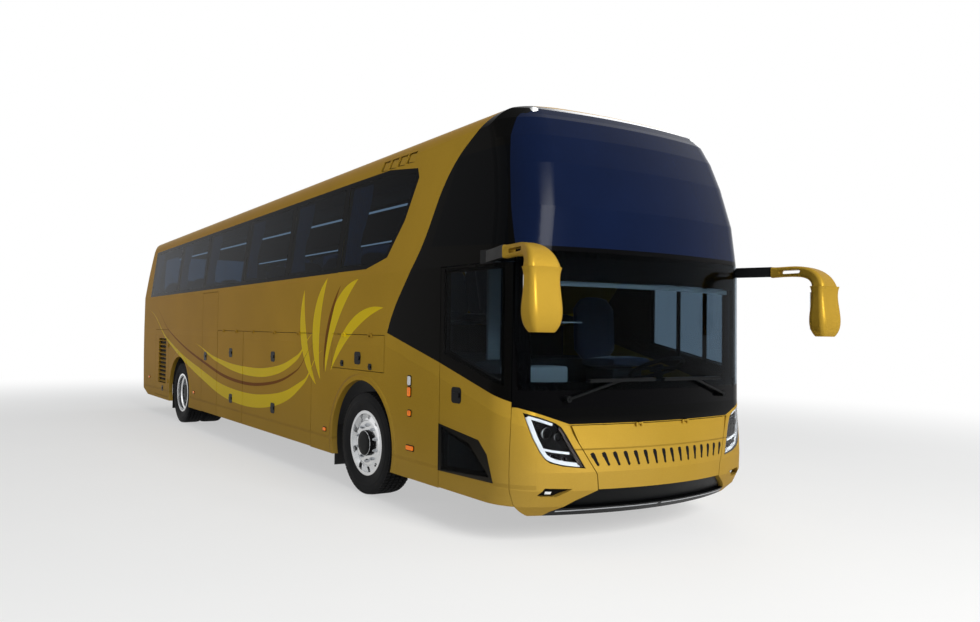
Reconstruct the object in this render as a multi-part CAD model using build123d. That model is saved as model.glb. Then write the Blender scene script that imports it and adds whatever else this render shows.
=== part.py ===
from build123d import *
import math
import os

# A two-axle touring coach, built panel by panel around one outer form.
# Millimetres. X points forward, Y to the coach's left, Z up, the ground is Z = 0.
# The origin is under the middle of the whole length. Places along the coach are measured
# from the front axle, and each helper below adds front_axle_x to them.

# Driving dimensions: the vehicle as a whole
width = 2550.0
wheelbase = 6100.0
mirror_front = 2825.0
tail_end = 8790.0
front_axle_x = (tail_end - mirror_front) / 2
half_width = width / 2

# Side walls lean in above the belt, and the roof falls a little to the rear
belt_z = 2050.0
lean_deg = 7.5
shoulder_z = 3050.0
shoulder_radius = 200.0
crown_start_deg = 10.0
roof_fall_deg = 1.0

# Wall thicknesses
side_wall = 60.0
glass = 12.0
door_wall = 45.0
lid_wall = 10.0

# Plan corners
front_corner = 350.0
rear_corner = 260.0
rear_bow = 7000.0

# Outer form, one row a level: height, nose, bow radius of the front, tail
form_rows = [
    (230.0, 2340.0, 2900.0, -8700.0),
    (310.0, 2430.0, 2900.0, -8720.0),
    (430.0, 2490.0, 2900.0, -8740.0),
    (560.0, 2495.0, 2900.0, -8750.0),
    (690.0, 2465.0, 3300.0, -8760.0),
    (885.0, 2415.0, 4200.0, -8775.0),
    (1010.0, 2400.0, 4500.0, -8785.0),
    (1500.0, 2396.0, 4500.0, -8790.0),
    (2050.0, 2393.0, 4500.0, -8762.0),
    (2450.0, 2362.0, 4500.0, -8700.0),
    (2780.0, 2275.0, 4600.0, -8600.0),
    (3000.0, 2190.0, 4800.0, -8510.0),
    (3150.0, 2105.0, 5000.0, -8430.0),
    (3240.0, 2010.0, 5200.0, -8350.0),
    (3310.0, 1870.0, 5400.0, -8200.0),
    (3480.0, 1300.0, 5600.0, -7700.0),
]

# Where the real panels meet
sill_z = 300.0
bumper_top = 560.0
mask_top = 1010.0
waist_z = 1495.0
door_front_edge = 2136.0
rear_split = -8400.0
roof_split_front = 3075.0
roof_split_rear = 2905.0

# Running gaps
panel_gap = 6.0
pin_clearance = 0.5
seat_gap = 0.3

# Wheels: 275/70 R22.5 on 7.5 inch rims
tyre_radius = 478.0
tyre_width = 276.0
bead_radius = 290.0
rim_half = 104.0
front_wheel_y = 1094.0
rear_outer_y = 1094.0
rear_inner_y = 775.0
axle_z = tyre_radius
front_arch = 590.0
rear_arch = 575.0
arch_box = 655.0
rear_axle_x = -wheelbase

# Cabin
deck_top = 1300.0
deck_thick = 60.0
cab_floor = 850.0
cab_rear = 1000.0


def lean(z):
    """Half width of the coach at a height."""
    return half_width - max(0.0, z - belt_z) * math.tan(math.radians(lean_deg))


def at(x, y, z):
    """A place measured from the front axle."""
    return Pos(front_axle_x + x, y, z)


def plan(z, nose, bow, tail, inset):
    """Outline of the coach at one height: bowed ends, round corners, straight sides."""
    half = lean(z) - inset
    ends = []
    for x_end, radius, corner, sign in (
        (nose - inset, bow - inset, front_corner - inset, 1),
        (tail + inset, rear_bow - inset, rear_corner - inset, -1),
    ):
        corner_y = half - corner
        x_end += front_axle_x
        centre_x = x_end - sign * radius
        reach = math.sqrt((radius - corner) ** 2 - corner_y**2)
        corner_x = centre_x + sign * reach
        meet_x = centre_x + sign * reach * radius / (radius - corner)
        meet_y = corner_y * radius / (radius - corner)
        turn = (math.atan2(reach, corner_y)) / 2
        mid_x = corner_x + sign * corner * math.sin(turn)
        mid_y = corner_y + corner * math.cos(turn)
        ends.append((x_end, corner_x, meet_x, meet_y, mid_x, mid_y))
    (fx, fcx, fmx, fmy, fqx, fqy), (rx, rcx, rmx, rmy, rqx, rqy) = ends
    return Wire([
        Edge.make_three_point_arc((fmx, -fmy, z), (fx, 0, z), (fmx, fmy, z)),
        Edge.make_three_point_arc((fmx, fmy, z), (fqx, fqy, z), (fcx, half, z)),
        Edge.make_line((fcx, half, z), (rcx, half, z)),
        Edge.make_three_point_arc((rcx, half, z), (rqx, rqy, z), (rmx, rmy, z)),
        Edge.make_three_point_arc((rmx, rmy, z), (rx, 0, z), (rmx, -rmy, z)),
        Edge.make_three_point_arc((rmx, -rmy, z), (rqx, -rqy, z), (rcx, -half, z)),
        Edge.make_line((rcx, -half, z), (fcx, -half, z)),
        Edge.make_three_point_arc((fcx, -half, z), (fqx, -fqy, z), (fmx, -fmy, z)),
    ])


def roof_tunnel(inset):
    """Everything under the roof's crown and shoulders, falling to the rear."""
    start = math.radians(90 - lean_deg)
    stop = math.radians(crown_start_deg)
    middle = (start + stop) / 2
    radius = shoulder_radius - inset
    side_y = lean(shoulder_z)
    centre_y = side_y - shoulder_radius * math.sin(start)
    centre_z = shoulder_z - shoulder_radius * math.cos(start)

    def on_arc(angle, sign):
        return (0, sign * (centre_y + radius * math.sin(angle)), centre_z + radius * math.cos(angle))

    crown_y, crown_z = on_arc(stop, 1)[1:]
    crown_radius = crown_y / math.sin(stop)
    top = (0, 0, crown_z + crown_radius * (1 - math.cos(stop)))
    foot_z = on_arc(start, 1)[2]
    outer = half_width + 300
    outline = Wire([
        Edge.make_three_point_arc(on_arc(start, -1), on_arc(middle, -1), on_arc(stop, -1)),
        Edge.make_three_point_arc(on_arc(stop, -1), top, on_arc(stop, 1)),
        Edge.make_three_point_arc(on_arc(stop, 1), on_arc(middle, 1), on_arc(start, 1)),
        Edge.make_line(on_arc(start, 1), (0, outer, foot_z)),
        Edge.make_line((0, outer, foot_z), (0, outer, 0)),
        Edge.make_line((0, outer, 0), (0, -outer, 0)),
        Edge.make_line((0, -outer, 0), (0, -outer, foot_z)),
        Edge.make_line((0, -outer, foot_z), on_arc(start, -1)),
    ])
    fall = math.tan(math.radians(roof_fall_deg))
    ahead = 3000.0
    front = at(ahead, 0, ahead * fall) * Face(outline)
    run = 12500.0
    return Solid.extrude(front, Vector(-run, 0, -run * fall))


def form(inset, foot=0.0):
    """The coach's outer form, set in by a wall; foot lowers the underside of an inner form."""
    rows = [plan(z, nose, bow, tail, inset) for z, nose, bow, tail in form_rows]
    body = Solid.make_loft(rows, ruled=True)
    if foot:
        z, nose, bow, tail = form_rows[0]
        lower = plan(z - foot, nose, bow, tail, inset)
        body = body + Solid.make_loft([lower, rows[0]], ruled=True)
    return body & roof_tunnel(inset)


def prism(points, y_low, y_high):
    """A side-view outline in X and Z, stretched from one Y to another."""
    face = Face(Wire.make_polygon([(front_axle_x + x, y_low, z) for x, z in points]))
    return Solid.extrude(face, Vector(0, y_high - y_low, 0))


def block(x, y, z):
    """A box from three ranges."""
    size = [high - low for low, high in (x, y, z)]
    middle = [(high + low) / 2 for low, high in (x, y, z)]
    return at(*middle) * Box(*size)


def across(radius, x, z, y_low, y_high):
    """A cylinder along Y."""
    length = y_high - y_low
    return at(x, (y_low + y_high) / 2, z) * Rot(90, 0, 0) * Cylinder(radius, length)


def upright(radius, x, y, z_low, z_high):
    """A cylinder along Z."""
    return at(x, y, (z_low + z_high) / 2) * Cylinder(radius, z_high - z_low)


def mirrored(shape):
    """The same piece on the coach's other side."""
    return mirror(shape, about=Plane.XZ)


def joined(shapes):
    """One shape from several."""
    total = shapes[0]
    for shape in shapes[1:]:
        total = total + shape
    return total


# Outer form and the skins cut from it
outer = form(0.0)
under_wall = form(side_wall, foot=100.0)
under_glass = form(glass, foot=100.0)
under_leaf = form(door_wall, foot=100.0)
shell = outer - under_wall
leaf = outer - under_leaf
far = 2000.0

front_zone = prism(
    [(door_front_edge, 100), (door_front_edge, 2140), (1945, 3000), (1890, 3600), (3200, 3600), (3200, 100)],
    -far, far,
)
rear_zone = prism([(rear_split, 100), (rear_split, 2100), (-8180, 3600), (-9400, 3600), (-9400, 100)], -far, far)
roof_zone = prism(
    [(3200, roof_split_front + 55), (-9400, roof_split_rear - 20), (-9400, 3700), (3200, 3700)], -far, far
)
sides = shell - front_zone - rear_zone - roof_zone
roof = (shell & roof_zone) - front_zone - rear_zone
# Air intakes in the roof's edge over the front pane: rear edge, front edge of each
gill_rows = [(90, 215), (235, 365), (385, 520), (540, 680)]
gill_foot = 3022.0
gill_rise = 88.0
gill_slant = 40.0
gill_depth = 16.0
under_gill = form(gill_depth)
gill_tool = joined([
    prism([(r, gill_foot), (f, gill_foot - 6), (f + gill_slant, gill_foot + gill_rise), (r + gill_slant, gill_foot + gill_rise)],
          -far, far)
    for r, f in gill_rows
])
gill_pocket = gill_tool - under_gill
below_sill = block((-9400, door_front_edge), (-far, far), (0, sill_z))
rear_rise = prism([(-8100, 0), (-8100, sill_z), (-8700, 480), (-9400, 480), (-9400, 0)], -far, far)
arches = joined([
    across(front_arch, 0, axle_z, -far, far),
    across(rear_arch, rear_axle_x, axle_z, -far, far),
])

# Windows. One row a pane along the side: rear edge, front edge
pane_rows = [(-8040, -6345), (-6335, -4945), (-4935, -3295), (-3285, -1845), (-1835, -545)]
pane_foot = 2105.0
pane_head = 3010.0
pillar = 45.0
window_fall = math.tan(math.radians(roof_fall_deg))


def pane(rear, front, margin, y_low, y_high):
    """A side pane's outline, its head following the roof."""
    foot = [pane_foot + 0.006 * x + margin for x in (rear, front)]
    head = [pane_head + window_fall * x - margin for x in (rear, front)]
    points = [
        (rear + margin, foot[0]), (front - margin, foot[1]), (front - margin, head[1]), (rear + margin, head[0])
    ]
    return prism(points, y_low, y_high)


def quarter_pane(margin, y_low, y_high):
    """The front side pane, with its rounded front edge."""
    points = [
        (-535 + margin, pane_foot + margin), (50, pane_foot + margin), (420 - margin, 2190 + margin),
        (650 - margin, 2500), (800 - margin, 2860), (760 - margin, 2950 - margin),
        (276, 3012 - margin), (-535 + margin, 3001 - margin),
    ]
    return prism(points, y_low, y_high)


def cab_pane(margin, y_low, y_high):
    """The pane over the door, up to the dome's seam."""
    points = [
        (1120 + margin, 2230 + margin), (2085 - margin, 2170 + margin), (1965 - margin, 2930 - margin),
        (1380 + margin, 2930 - margin),
    ]
    return prism(points, y_low, y_high)


side_panes = []
side_openings = []
for rear, front in pane_rows:
    side_panes.append(pane(rear, front, 0, -far, far))
    side_openings.append(pane(rear, front, pillar, -far, far))
side_panes += [quarter_pane(0, -far, far), cab_pane(0, -far, far)]
side_openings += [quarter_pane(pillar, -far, far), cab_pane(pillar, -far, far)]

# Driver's window, left side only
driver_points = [(1180, 1420), (2060, 1230), (2060, 2060), (1180, 2060)]
driver_opening_points = [(1220, 1450), (2020, 1280), (2020, 2020), (1220, 2020)]
side_panes.append(prism(driver_points, 0, far))
side_openings.append(prism(driver_opening_points, 0, far))
pane_tool = joined(side_panes)
opening_tool = joined(side_openings)
pane_pocket = pane_tool - under_glass
side_windows = (outer & pane_pocket) - front_zone

# Doors: rear edge, front edge, foot, head
front_door = (1307.0, door_front_edge, sill_z, belt_z)
mid_door = (-4910.0, -4210.0, sill_z, 2035.0)
# Luggage flaps: rear edge, front edge
flap_rows = [(-4210.0, -3180.0), (-3180.0, -1090.0)]
arch_hatch = (-620.0, 430.0, 1155.0, waist_z)
service = (-7600.0, -6760.0, 350.0, 1480.0)


def panel_box(rear, front, foot, head, gap, y_low, y_high):
    """A door's or flap's opening; gap shrinks it to the leaf that fits it."""
    return block((rear + gap, front - gap), (y_low, y_high), (foot + gap, head - gap))


right = (-far, 0.0)
left = (0.0, far)
flap_cuts = [panel_box(r, f, sill_z - 100, waist_z, 0, -far, far) for r, f in flap_rows]
service_cut = panel_box(*service, 0, -far, far)
right_cuts = flap_cuts + [
    panel_box(*front_door, 0, *right),
    panel_box(*mid_door, 0, *right),
    panel_box(*arch_hatch, 0, *right),
    service_cut,
]
left_cuts = flap_cuts + [service_cut]

sides = sides - gill_pocket
roof = roof - gill_pocket
walls = sides - below_sill - rear_rise - arches - opening_tool - pane_pocket
side_wall_right = (walls & block((-9400, 3200), right, (0, 3700))) - joined(right_cuts)
side_wall_left = (walls & block((-9400, 3200), left, (0, 3700))) - joined(left_cuts)

# Doors and flaps
door_upper = [(1360, 1360), (2080, 1160), (2080, 2030), (1360, 2030)]
door_lower = [(1345, 785), (1715, 700), (1960, 490), (1345, 450)]


def glazed(leaf_part, outlines, frame, y_range):
    """Cuts windows in a leaf and returns the leaf with the panes that fill them."""
    pocket = joined([prism(points, *y_range) for points in outlines]) - under_glass
    opening = joined([prism(shrunk(points, frame), *y_range) for points in outlines])
    return leaf_part - pocket - opening, outer & pocket


def shrunk(points, margin):
    """Pulls an outline in towards its middle."""
    cx = sum(x for x, z in points) / len(points)
    cz = sum(z for x, z in points) / len(points)
    pulled = []
    for x, z in points:
        pulled.append((x - math.copysign(margin, x - cx), z - math.copysign(margin, z - cz)))
    return pulled


door_front_leaf = leaf & panel_box(*front_door, panel_gap, *right)
door_front_leaf, door_front_glass = glazed(door_front_leaf, [door_upper, door_lower], 30, right)
door_mid_leaf = leaf & panel_box(*mid_door, panel_gap, *right)
flaps_right = [leaf & panel_box(r, f, sill_z, waist_z, panel_gap, *right) for r, f in flap_rows]
hatch_right = leaf & panel_box(*arch_hatch, panel_gap, *right)

# Side service doors with a louvred grille
grille = (-7390.0, -6910.0, 570.0, 1330.0)
louvre_count = 11
service_right = leaf & panel_box(*service, panel_gap, *right)
service_right = service_right - block(grille[:2], right, grille[2:])
louvre_pitch = (grille[3] - grille[2]) / louvre_count
louvre_y = -half_width + door_wall / 2
for index in range(louvre_count):
    z = grille[2] + louvre_pitch * (index + 0.5)
    slat = at((grille[0] + grille[1]) / 2, louvre_y, z) * Rot(35, 0, 0) * Box(grille[1] - grille[0] + 4, 44, 8)
    service_right = service_right + slat

# Front: frame with the windscreen, mask, lid, bumper
front = shell & front_zone
screen_low = 1135.0
screen_high = 2125.0
dome_low = 2160.0
screen_half = 1195.0


def front_view(points, x_low, x_high):
    """A front-view outline in Y and Z, stretched along X."""
    face = Face(Wire.make_polygon([(front_axle_x + x_low, y, z) for y, z in points]))
    return Solid.extrude(face, Vector(x_high - x_low, 0, 0))


screen_zone = front_view(
    [(-screen_half, screen_low), (screen_half, screen_low), (1235, screen_high), (-1235, screen_high)], 2110, 3200
)
screen_hole = front_view(
    [(-1120, 1190), (1120, 1190), (1120, screen_high - 40), (-1120, screen_high - 40)], 1900, 3200
)
dome_zone = front_zone & block((1500, 3200), (-far, far), (dome_low, 3185))
dome_hole = block((1950, 3200), (-960, 960), (dome_low + 70, 3000))
screen_pocket = (screen_zone & front_zone) - under_glass
dome_pocket = dome_zone - under_glass
windscreen = outer & screen_pocket
dome_glass = outer & dome_pocket

front_frame = front & block((1500, 3200), (-far, far), (mask_top, 3700))
front_frame = front_frame - screen_hole - dome_hole - screen_pocket - dome_pocket

# Front view outlines, one half, as (Y, Z); both_sides gives the whole
lid_half = [(866, 890), (668, 541), (655, 430)]
lid_leaf_half = [(833, 884), (824, 862), (784, 760), (661, 541), (649, 436)]
intake_half = [(655, 430), (800, 355), (940, 262), (990, 200)]
lamp_outline = [
    (-1169, 976), (-1056, 941), (-959, 905), (-915, 876), (-880, 823), (-831, 730), (-752, 586),
    (-920, 603), (-1013, 628), (-1048, 654), (-1080, 700), (-1122, 797), (-1151, 905),
]
fog_outline = [(-1086, 400), (-1045, 452), (-848, 445), (-949, 388), (-1054, 389)]
lip_top = 292.0


def both_sides(half):
    """An outline from its half, mirrored about the middle."""
    return half + [(-y, z) for y, z in reversed(half)]


def paired(outline, x_low, x_high):
    """The same outline on both sides of the front."""
    tool = front_view(outline, x_low, x_high)
    return tool + mirrored(tool)


mask = front & block((1500, 3200), (-far, far), (bumper_top, mask_top))
lid_tool = front_view(both_sides(lid_half), 1500, 3200)
intake_tool = front_view(both_sides(intake_half), 1500, 3200)
lamp_tool = paired(lamp_outline, 1900, 3200)
fog_tool = paired(fog_outline, 1900, 3200)
front_mask = mask - lid_tool - lamp_tool
headlights = mask & lamp_tool
bumper = front & block((1500, 3200), (-far, far), (200, bumper_top))
grille_skin = (under_leaf - under_wall) & intake_tool & block((1500, 3200), (-far, far), (230, 430))
grille_lip = bumper & intake_tool & block((1500, 3200), (-far, far), (200, lip_top))
front_grille = grille_skin + grille_lip
bumper = bumper - intake_tool - lid_tool - fog_tool
fog_lamps = (under_glass - under_leaf) & fog_tool
front_lid = (outer - form(lid_wall, foot=100.0)) & front_zone & front_view(both_sides(lid_leaf_half), 1500, 3200)

# Slanted cooling slots in the lid, fanned out from its middle
slot_count = 8
slot_pitch = 90.0
slot_fan_deg = 4.0
slot_z = 646.0
slot_size = (22.0, 100.0)
slot_tool = []
for side in (-1, 1):
    for index in range(slot_count):
        steps = index + 0.5
        slot = Rot(side * slot_fan_deg * steps * -1, 0, 0) * Box(600, *slot_size)
        slot_tool.append(at(2300, side * slot_pitch * steps, slot_z) * slot)
front_lid = front_lid - joined(slot_tool)

# Rear: wall, window, lamps, engine lid
rear = (shell & rear_zone) - rear_rise - below_sill
engine_lid_box = (-900.0, 900.0, 640.0, 1720.0)
rear_glass_points = [(-980, 2180), (980, 2180), (900, 2900), (-900, 2900)]
rear_lamp_points = [(-1160, 900), (-985, 900), (-985, 1480), (-1120, 1480)]
rear_lamp_tool = front_view(rear_lamp_points, -9400, -8300)
rear_lamp_tool = rear_lamp_tool + mirrored(rear_lamp_tool)
rear_glass_zone = front_view(rear_glass_points, -9400, -8300)
rear_pocket = rear_glass_zone - under_glass
rear_window = outer & rear_pocket
lamp_pocket = rear_lamp_tool - under_leaf
tail_lamps = outer & lamp_pocket
rear_wall = rear - rear_pocket - lamp_pocket
rear_wall = rear_wall - front_view([(-930, 2230), (930, 2230), (860, 2850), (-860, 2850)], -9400, -8000)
lid_y = engine_lid_box[:2]
lid_z = engine_lid_box[2:]
rear_wall = rear_wall - block((-9400, -8000), lid_y, lid_z)
engine_lid = (leaf & rear_zone) & block(
    (-9400, -8000), (lid_y[0] + panel_gap, lid_y[1] - panel_gap), (lid_z[0] + panel_gap, lid_z[1] - panel_gap)
)
for index in range(9):
    engine_lid = engine_lid - block((-9400, -8000), (-560, 560), (900 + 70 * index, 930 + 70 * index))

# Deck, cab floor, steps and wheel boxes
inner_half = half_width - side_wall
deck = block((rear_split, cab_rear), (-inner_half, inner_half), (deck_top - deck_thick, deck_top))
stair_inner = -470.0
stair_outer = -1185.0
stair_wall = 30.0
tread_thick = 40.0
cab_front = 2200.0
cab = block((cab_rear - 40, cab_front), (stair_inner, 900), (cab_floor - 50, cab_floor))
cab = cab + block((cab_rear - 40, 1930), (890, inner_half), (cab_floor - 50, cab_floor))
riser = block((cab_rear - 40, cab_rear), (stair_inner, inner_half), (cab_floor - 50, deck_top))
deck = deck + cab + riser


def stairwell(rear, front, treads, floor_z):
    """Boards of one stairwell: rear and front, tread heights with their outer edge, floor above."""
    wall_y = (stair_inner - stair_wall, stair_inner)
    foot = treads[0][0]
    boards = [block((rear, front), (y, wall_y[0]), (z, z + tread_thick)) for z, y in treads]
    boards.append(block((rear, front), wall_y, (foot, floor_z)))
    boards.append(block((rear - stair_wall, rear), (stair_outer, stair_inner), (foot, deck_top - deck_thick)))
    return boards


front_treads = [(320.0, stair_outer), (500.0, -950.0), (670.0, -710.0)]
mid_treads = [(320.0, stair_outer), (560.0, -1010.0), (790.0, -830.0), (1010.0, -660.0)]
stair_front = (1340.0, 2010.0)
stair_mid = (-4905.0, -4225.0)
deck = deck + block((cab_rear - 40, stair_front[0]), (-inner_half, stair_inner), (deck_top - deck_thick, deck_top))
deck = deck - block(stair_mid, (-far, stair_inner), (deck_top - 200, deck_top + 10))
stairs = stairwell(*stair_front, front_treads, cab_floor) + stairwell(*stair_mid, mid_treads, deck_top)


def wheel_box(x, arch, y_inner):
    """An arched housing over a wheel, open below and to the side."""
    ring = across(arch + 12, x, axle_z, y_inner, inner_half) - across(arch, x, axle_z, y_inner + 12, far)
    return ring & block((x - far, x + far), (-far, far), (axle_z + 100, deck_top - deck_thick))


wheel_boxes = []
for x, arch, y_inner in ((0.0, arch_box, 540.0), (rear_axle_x, rear_arch + 15, 590.0)):
    one = wheel_box(x, arch, y_inner)
    wheel_boxes += [one, mirrored(one)]

# Underframe: rails front and rear, luggage bay floor and bulkheads
bay_front = -1100.0
bay_rear = -4200.0
under_deck = deck_top - deck_thick
rail_y = 375.0
rail_width = 80.0
rail_z = (620.0, 800.0)
bay_floor = (340.0, 370.0)
board_half = 20.0
bay_width = (-inner_half, inner_half)
bay_boards = [block((bay_rear - board_half, bay_front + board_half), bay_width, bay_floor)]
for x in (bay_front, bay_rear, flap_rows[0][1]):
    bay_boards.append(block((x - board_half, x + board_half), bay_width, (bay_floor[1], under_deck)))
frame_parts = []
for y in (-rail_y - rail_width, rail_y):
    rail_range = (y, y + rail_width)
    frame_parts.append(block((bay_front + board_half, 1950), rail_range, rail_z))
    frame_parts.append(block((-8390, bay_rear - board_half), rail_range, rail_z))
    for x in (700.0, -5000.0, -7000.0, -8340.0):
        frame_parts.append(block((x - 40, x + 40), rail_range, (rail_z[1], under_deck)))
for x, half_length in ((1900.0, 50), (0.0, 120), (-5350.0, 40), (-6850.0, 40), (-8340.0, 50)):
    frame_parts.append(block((x - half_length, x + half_length), (-rail_y, rail_y), (660, 790)))
chassis_frame = joined(frame_parts)
tow_radius = 22.0
for x in (1900.0, -8340.0):
    chassis_frame = chassis_frame - upright(tow_radius, x, 0, 600, 900)

# Engine: one plain block at its real place, carried between the rails
engine = block((-8250, -7150), (-rail_y, rail_y), (480, 1180))

# Axles
beam_y = 930.0
stub_radius = 48.0
stub_end = 96.0
eye = 62.0
pin = 30.0
front_axle = block((-50, 50), (-beam_y, beam_y), (axle_z - 60, axle_z + 50))
front_axle = front_axle - block((-60, 60), (-600, 600), (axle_z - 60, axle_z - 20))
for side in (-1, 1):
    y = side * beam_y
    front_axle = front_axle + upright(eye, 0, y, axle_z - 70, axle_z + 70)
for side in (-1, 1):
    front_axle = front_axle - upright(pin + pin_clearance, 0, side * beam_y, axle_z - 200, axle_z + 200)
rear_axle = across(90, rear_axle_x, axle_z, -600, 600)
rear_axle = rear_axle + across(52, rear_axle_x, axle_z, -1120, 1120)
rear_axle = rear_axle + at(rear_axle_x, 0, axle_z) * Rot(0, 90, 0) * Cylinder(200, 300)
for side in (-1, 1):
    front_axle = front_axle + upright(72, 0, side * 290, axle_z + 50, 660)
    seat_y = side * 415
    rear_axle = rear_axle + block(
        (rear_axle_x - 430, rear_axle_x + 430), (seat_y - 40, seat_y + 40), (axle_z - 40, axle_z + 20)
    )
    for dx in (-360, 360):
        rear_axle = rear_axle + upright(65, rear_axle_x + dx, seat_y, axle_z + 20, rail_z[0])

# Knuckles: yoke, king pin and stub
def knuckle():
    """The right one: the pin turns in the beam's eye, the stub carries the wheel."""
    lug_low = 73.0
    lug_high = 112.0
    body = upright(pin, 0, -beam_y, axle_z - lug_high, axle_z + lug_high)
    for sign in (-1, 1):
        low, high = sorted((sign * lug_low, sign * lug_high))
        body = body + upright(eye, 0, -beam_y, axle_z + low, axle_z + high)
        body = body + block((-50, 50), (-beam_y - 100, -beam_y), (axle_z + low, axle_z + high))
    body = body + block((-60, 60), (-beam_y - 110, -beam_y - 75), (axle_z - lug_high, axle_z + lug_high))
    body = body - (upright(eye + 3, 0, -beam_y, axle_z - lug_low, axle_z + lug_low) -
                   upright(pin, 0, -beam_y, axle_z - lug_low, axle_z + lug_low))
    body = body + across(stub_radius, 0, axle_z, -front_wheel_y - stub_end, -beam_y - 100)
    arm = block((-260, -40), (-beam_y - 20, -beam_y + 20), (axle_z - lug_high, axle_z - lug_low))
    return body + arm


knuckle_right = knuckle()
knuckle_left = mirrored(knuckle_right)

# Tyre and rim profiles: across, radius, about the wheel's middle
tyre_half_profile = [
    (99, bead_radius), (102, 304), (119, 307), (128, 335), (136, 378), (134, 418), (122, 455), (96, tyre_radius),
]
tyre_rows = tyre_half_profile + [(-y, radius) for y, radius in reversed(tyre_half_profile)]


def turned(rows, x, y):
    """Spins a closed profile about a wheel's axle."""
    place_x = front_axle_x + x
    face = Face(Wire.make_polygon([(place_x, y + across_y, axle_z + radius) for across_y, radius in rows]))
    return Solid.revolve(face, 360, Axis((place_x, y, axle_z), (0, 1, 0)))


def barrel(x, y):
    """A rim's barrel with its drop centre and flanges."""
    rows = [
        (-rim_half - 14, 302), (-rim_half, 302), (-rim_half, bead_radius - 0.3), (-60, bead_radius - 4), (-44, 264),
        (44, 264), (60, bead_radius - 4), (rim_half, bead_radius - 0.3), (rim_half, 302), (rim_half + 14, 302),
        (rim_half + 14, 274), (66, 270), (48, 252), (-48, 252), (-66, 270), (-rim_half - 14, 274),
    ]
    return turned(rows, x, y)


hole_count = 10
hole_ring = 245.0
hole_size = (46.0, 52.0)
hole_corner = 12.0
hub_axial = (-20.0, 86.0)


def hand_holes(x):
    """Rounded openings round a wheel disc."""
    one = fillet(Box(hole_size[0], 400, hole_size[1]).edges().filter_by(Axis.Y), hole_corner)
    ring = [at(x, 0, axle_z) * Rot(0, index * 360 / hole_count, 0) * Pos(0, 0, hole_ring) * one
            for index in range(hole_count)]
    return joined(ring)


def outset_disc(x, y):
    """The front wheel's disc with its cone, nut face and hub, outboard along +Y."""
    bore = stub_radius + pin_clearance
    rows = [
        (hub_axial[0], bore), (hub_axial[0], 112), (72, 112), (hub_axial[1], 200), (78, 209), (54, 262), (70, 276),
        (92, 214), (100, 205), (100, bore),
    ]
    return turned(rows, x, y) - Pos(0, y, 0) * hand_holes(x)


def hub(x, y_low, y_high, radius):
    """The hub cap over the axle's end."""
    return across(radius, x, axle_z, y_low, y_high)


# Right-hand wheels; outboard is towards -Y
tyre_front_right = turned(tyre_rows, 0, -front_wheel_y)
rim_front_right = barrel(0, -front_wheel_y) + mirrored(outset_disc(0, front_wheel_y))
rim_front_right = rim_front_right + hub(0, -front_wheel_y - 138, -front_wheel_y - stub_end - 2, 116)
tyre_rear_right = turned(tyre_rows, rear_axle_x, -rear_outer_y) + turned(tyre_rows, rear_axle_x, -rear_inner_y)
rear_plate_y = -(rear_outer_y + rear_inner_y) / 2
rim_rear_right = barrel(rear_axle_x, -rear_outer_y) + barrel(rear_axle_x, -rear_inner_y)
plate_rows = [(-16, 52 + pin_clearance), (-16, 262), (16, 262), (16, 52 + pin_clearance)]
rear_plate = turned(plate_rows, rear_axle_x, rear_plate_y)
ring_rows = [(-75, 256), (-75, 280), (75, 280), (75, 256)]
rear_plate = rear_plate + turned(ring_rows, rear_axle_x, rear_plate_y)
rim_rear_right = rim_rear_right + rear_plate
rim_rear_right = rim_rear_right + (
    across(115, rear_axle_x, axle_z, rear_plate_y - 190, rear_plate_y + 10)
    - across(52 + pin_clearance, rear_axle_x, axle_z, -1125, 0)
)

# Mirrors: bracket, arm and head on each side
mirror_root = (1885.0, 1262.0, 2090.0)
mirror_elbow = (2335.0, 1448.0, 2090.0)
mirror_head_x = mirror_front - 68
mirror_head_y = 1500.0
mirror_head_z = (1545.0, 1952.0)
# Arm and head, one section a row: x, y, z, slope from level, width, height
mirror_rows = [
    (2335.0, 1448.0, 2085.0, 0.0, 62.0, 92.0),
    (2560.0, 1472.0, 2082.0, 8.0, 100.0, 88.0),
    (2700.0, 1492.0, 2036.0, 46.0, 180.0, 92.0),
    (mirror_head_x, mirror_head_y, mirror_head_z[1] - 14, 90.0, 250.0, 104.0),
]
mirror_head_rows = [
    (mirror_head_z[1], 268.0, 118.0), (mirror_head_z[1] - 200, 256.0, 128.0), (mirror_head_z[0] + 30, 214.0, 110.0),
    (mirror_head_z[0], 170.0, 76.0),
]


def mirror_section(x, y, z, slope, width, height):
    """A rounded section across the arm."""
    aim = Vector(math.cos(math.radians(slope)), 0.08 * math.cos(math.radians(slope)), -math.sin(math.radians(slope)))
    plane = Plane(origin=(front_axle_x + x, y, z), x_dir=(-0.08, 1, 0), z_dir=aim)
    return plane * RectangleRounded(width, height, min(width, height) * 0.3)


def mirror_left():
    """The left arm with its head, from the bracket's end forward and down."""
    arm = loft([mirror_section(*row) for row in mirror_rows])
    eye_slot = at(2500, mirror_elbow[1], 2082) * Rot(90, 0, 0) * extrude(SlotOverall(190, 30), 200, both=True)
    sections = []
    for z, width, depth in mirror_head_rows:
        rake = (mirror_head_z[1] - z) / (mirror_head_z[1] - mirror_head_z[0])
        middle = Pos(front_axle_x + mirror_head_x + 4 * rake, mirror_head_y, z)
        sections.append(middle * RectangleRounded(depth, width, min(width, depth) * 0.3))
    head = loft(sections)
    return arm - eye_slot + head


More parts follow.
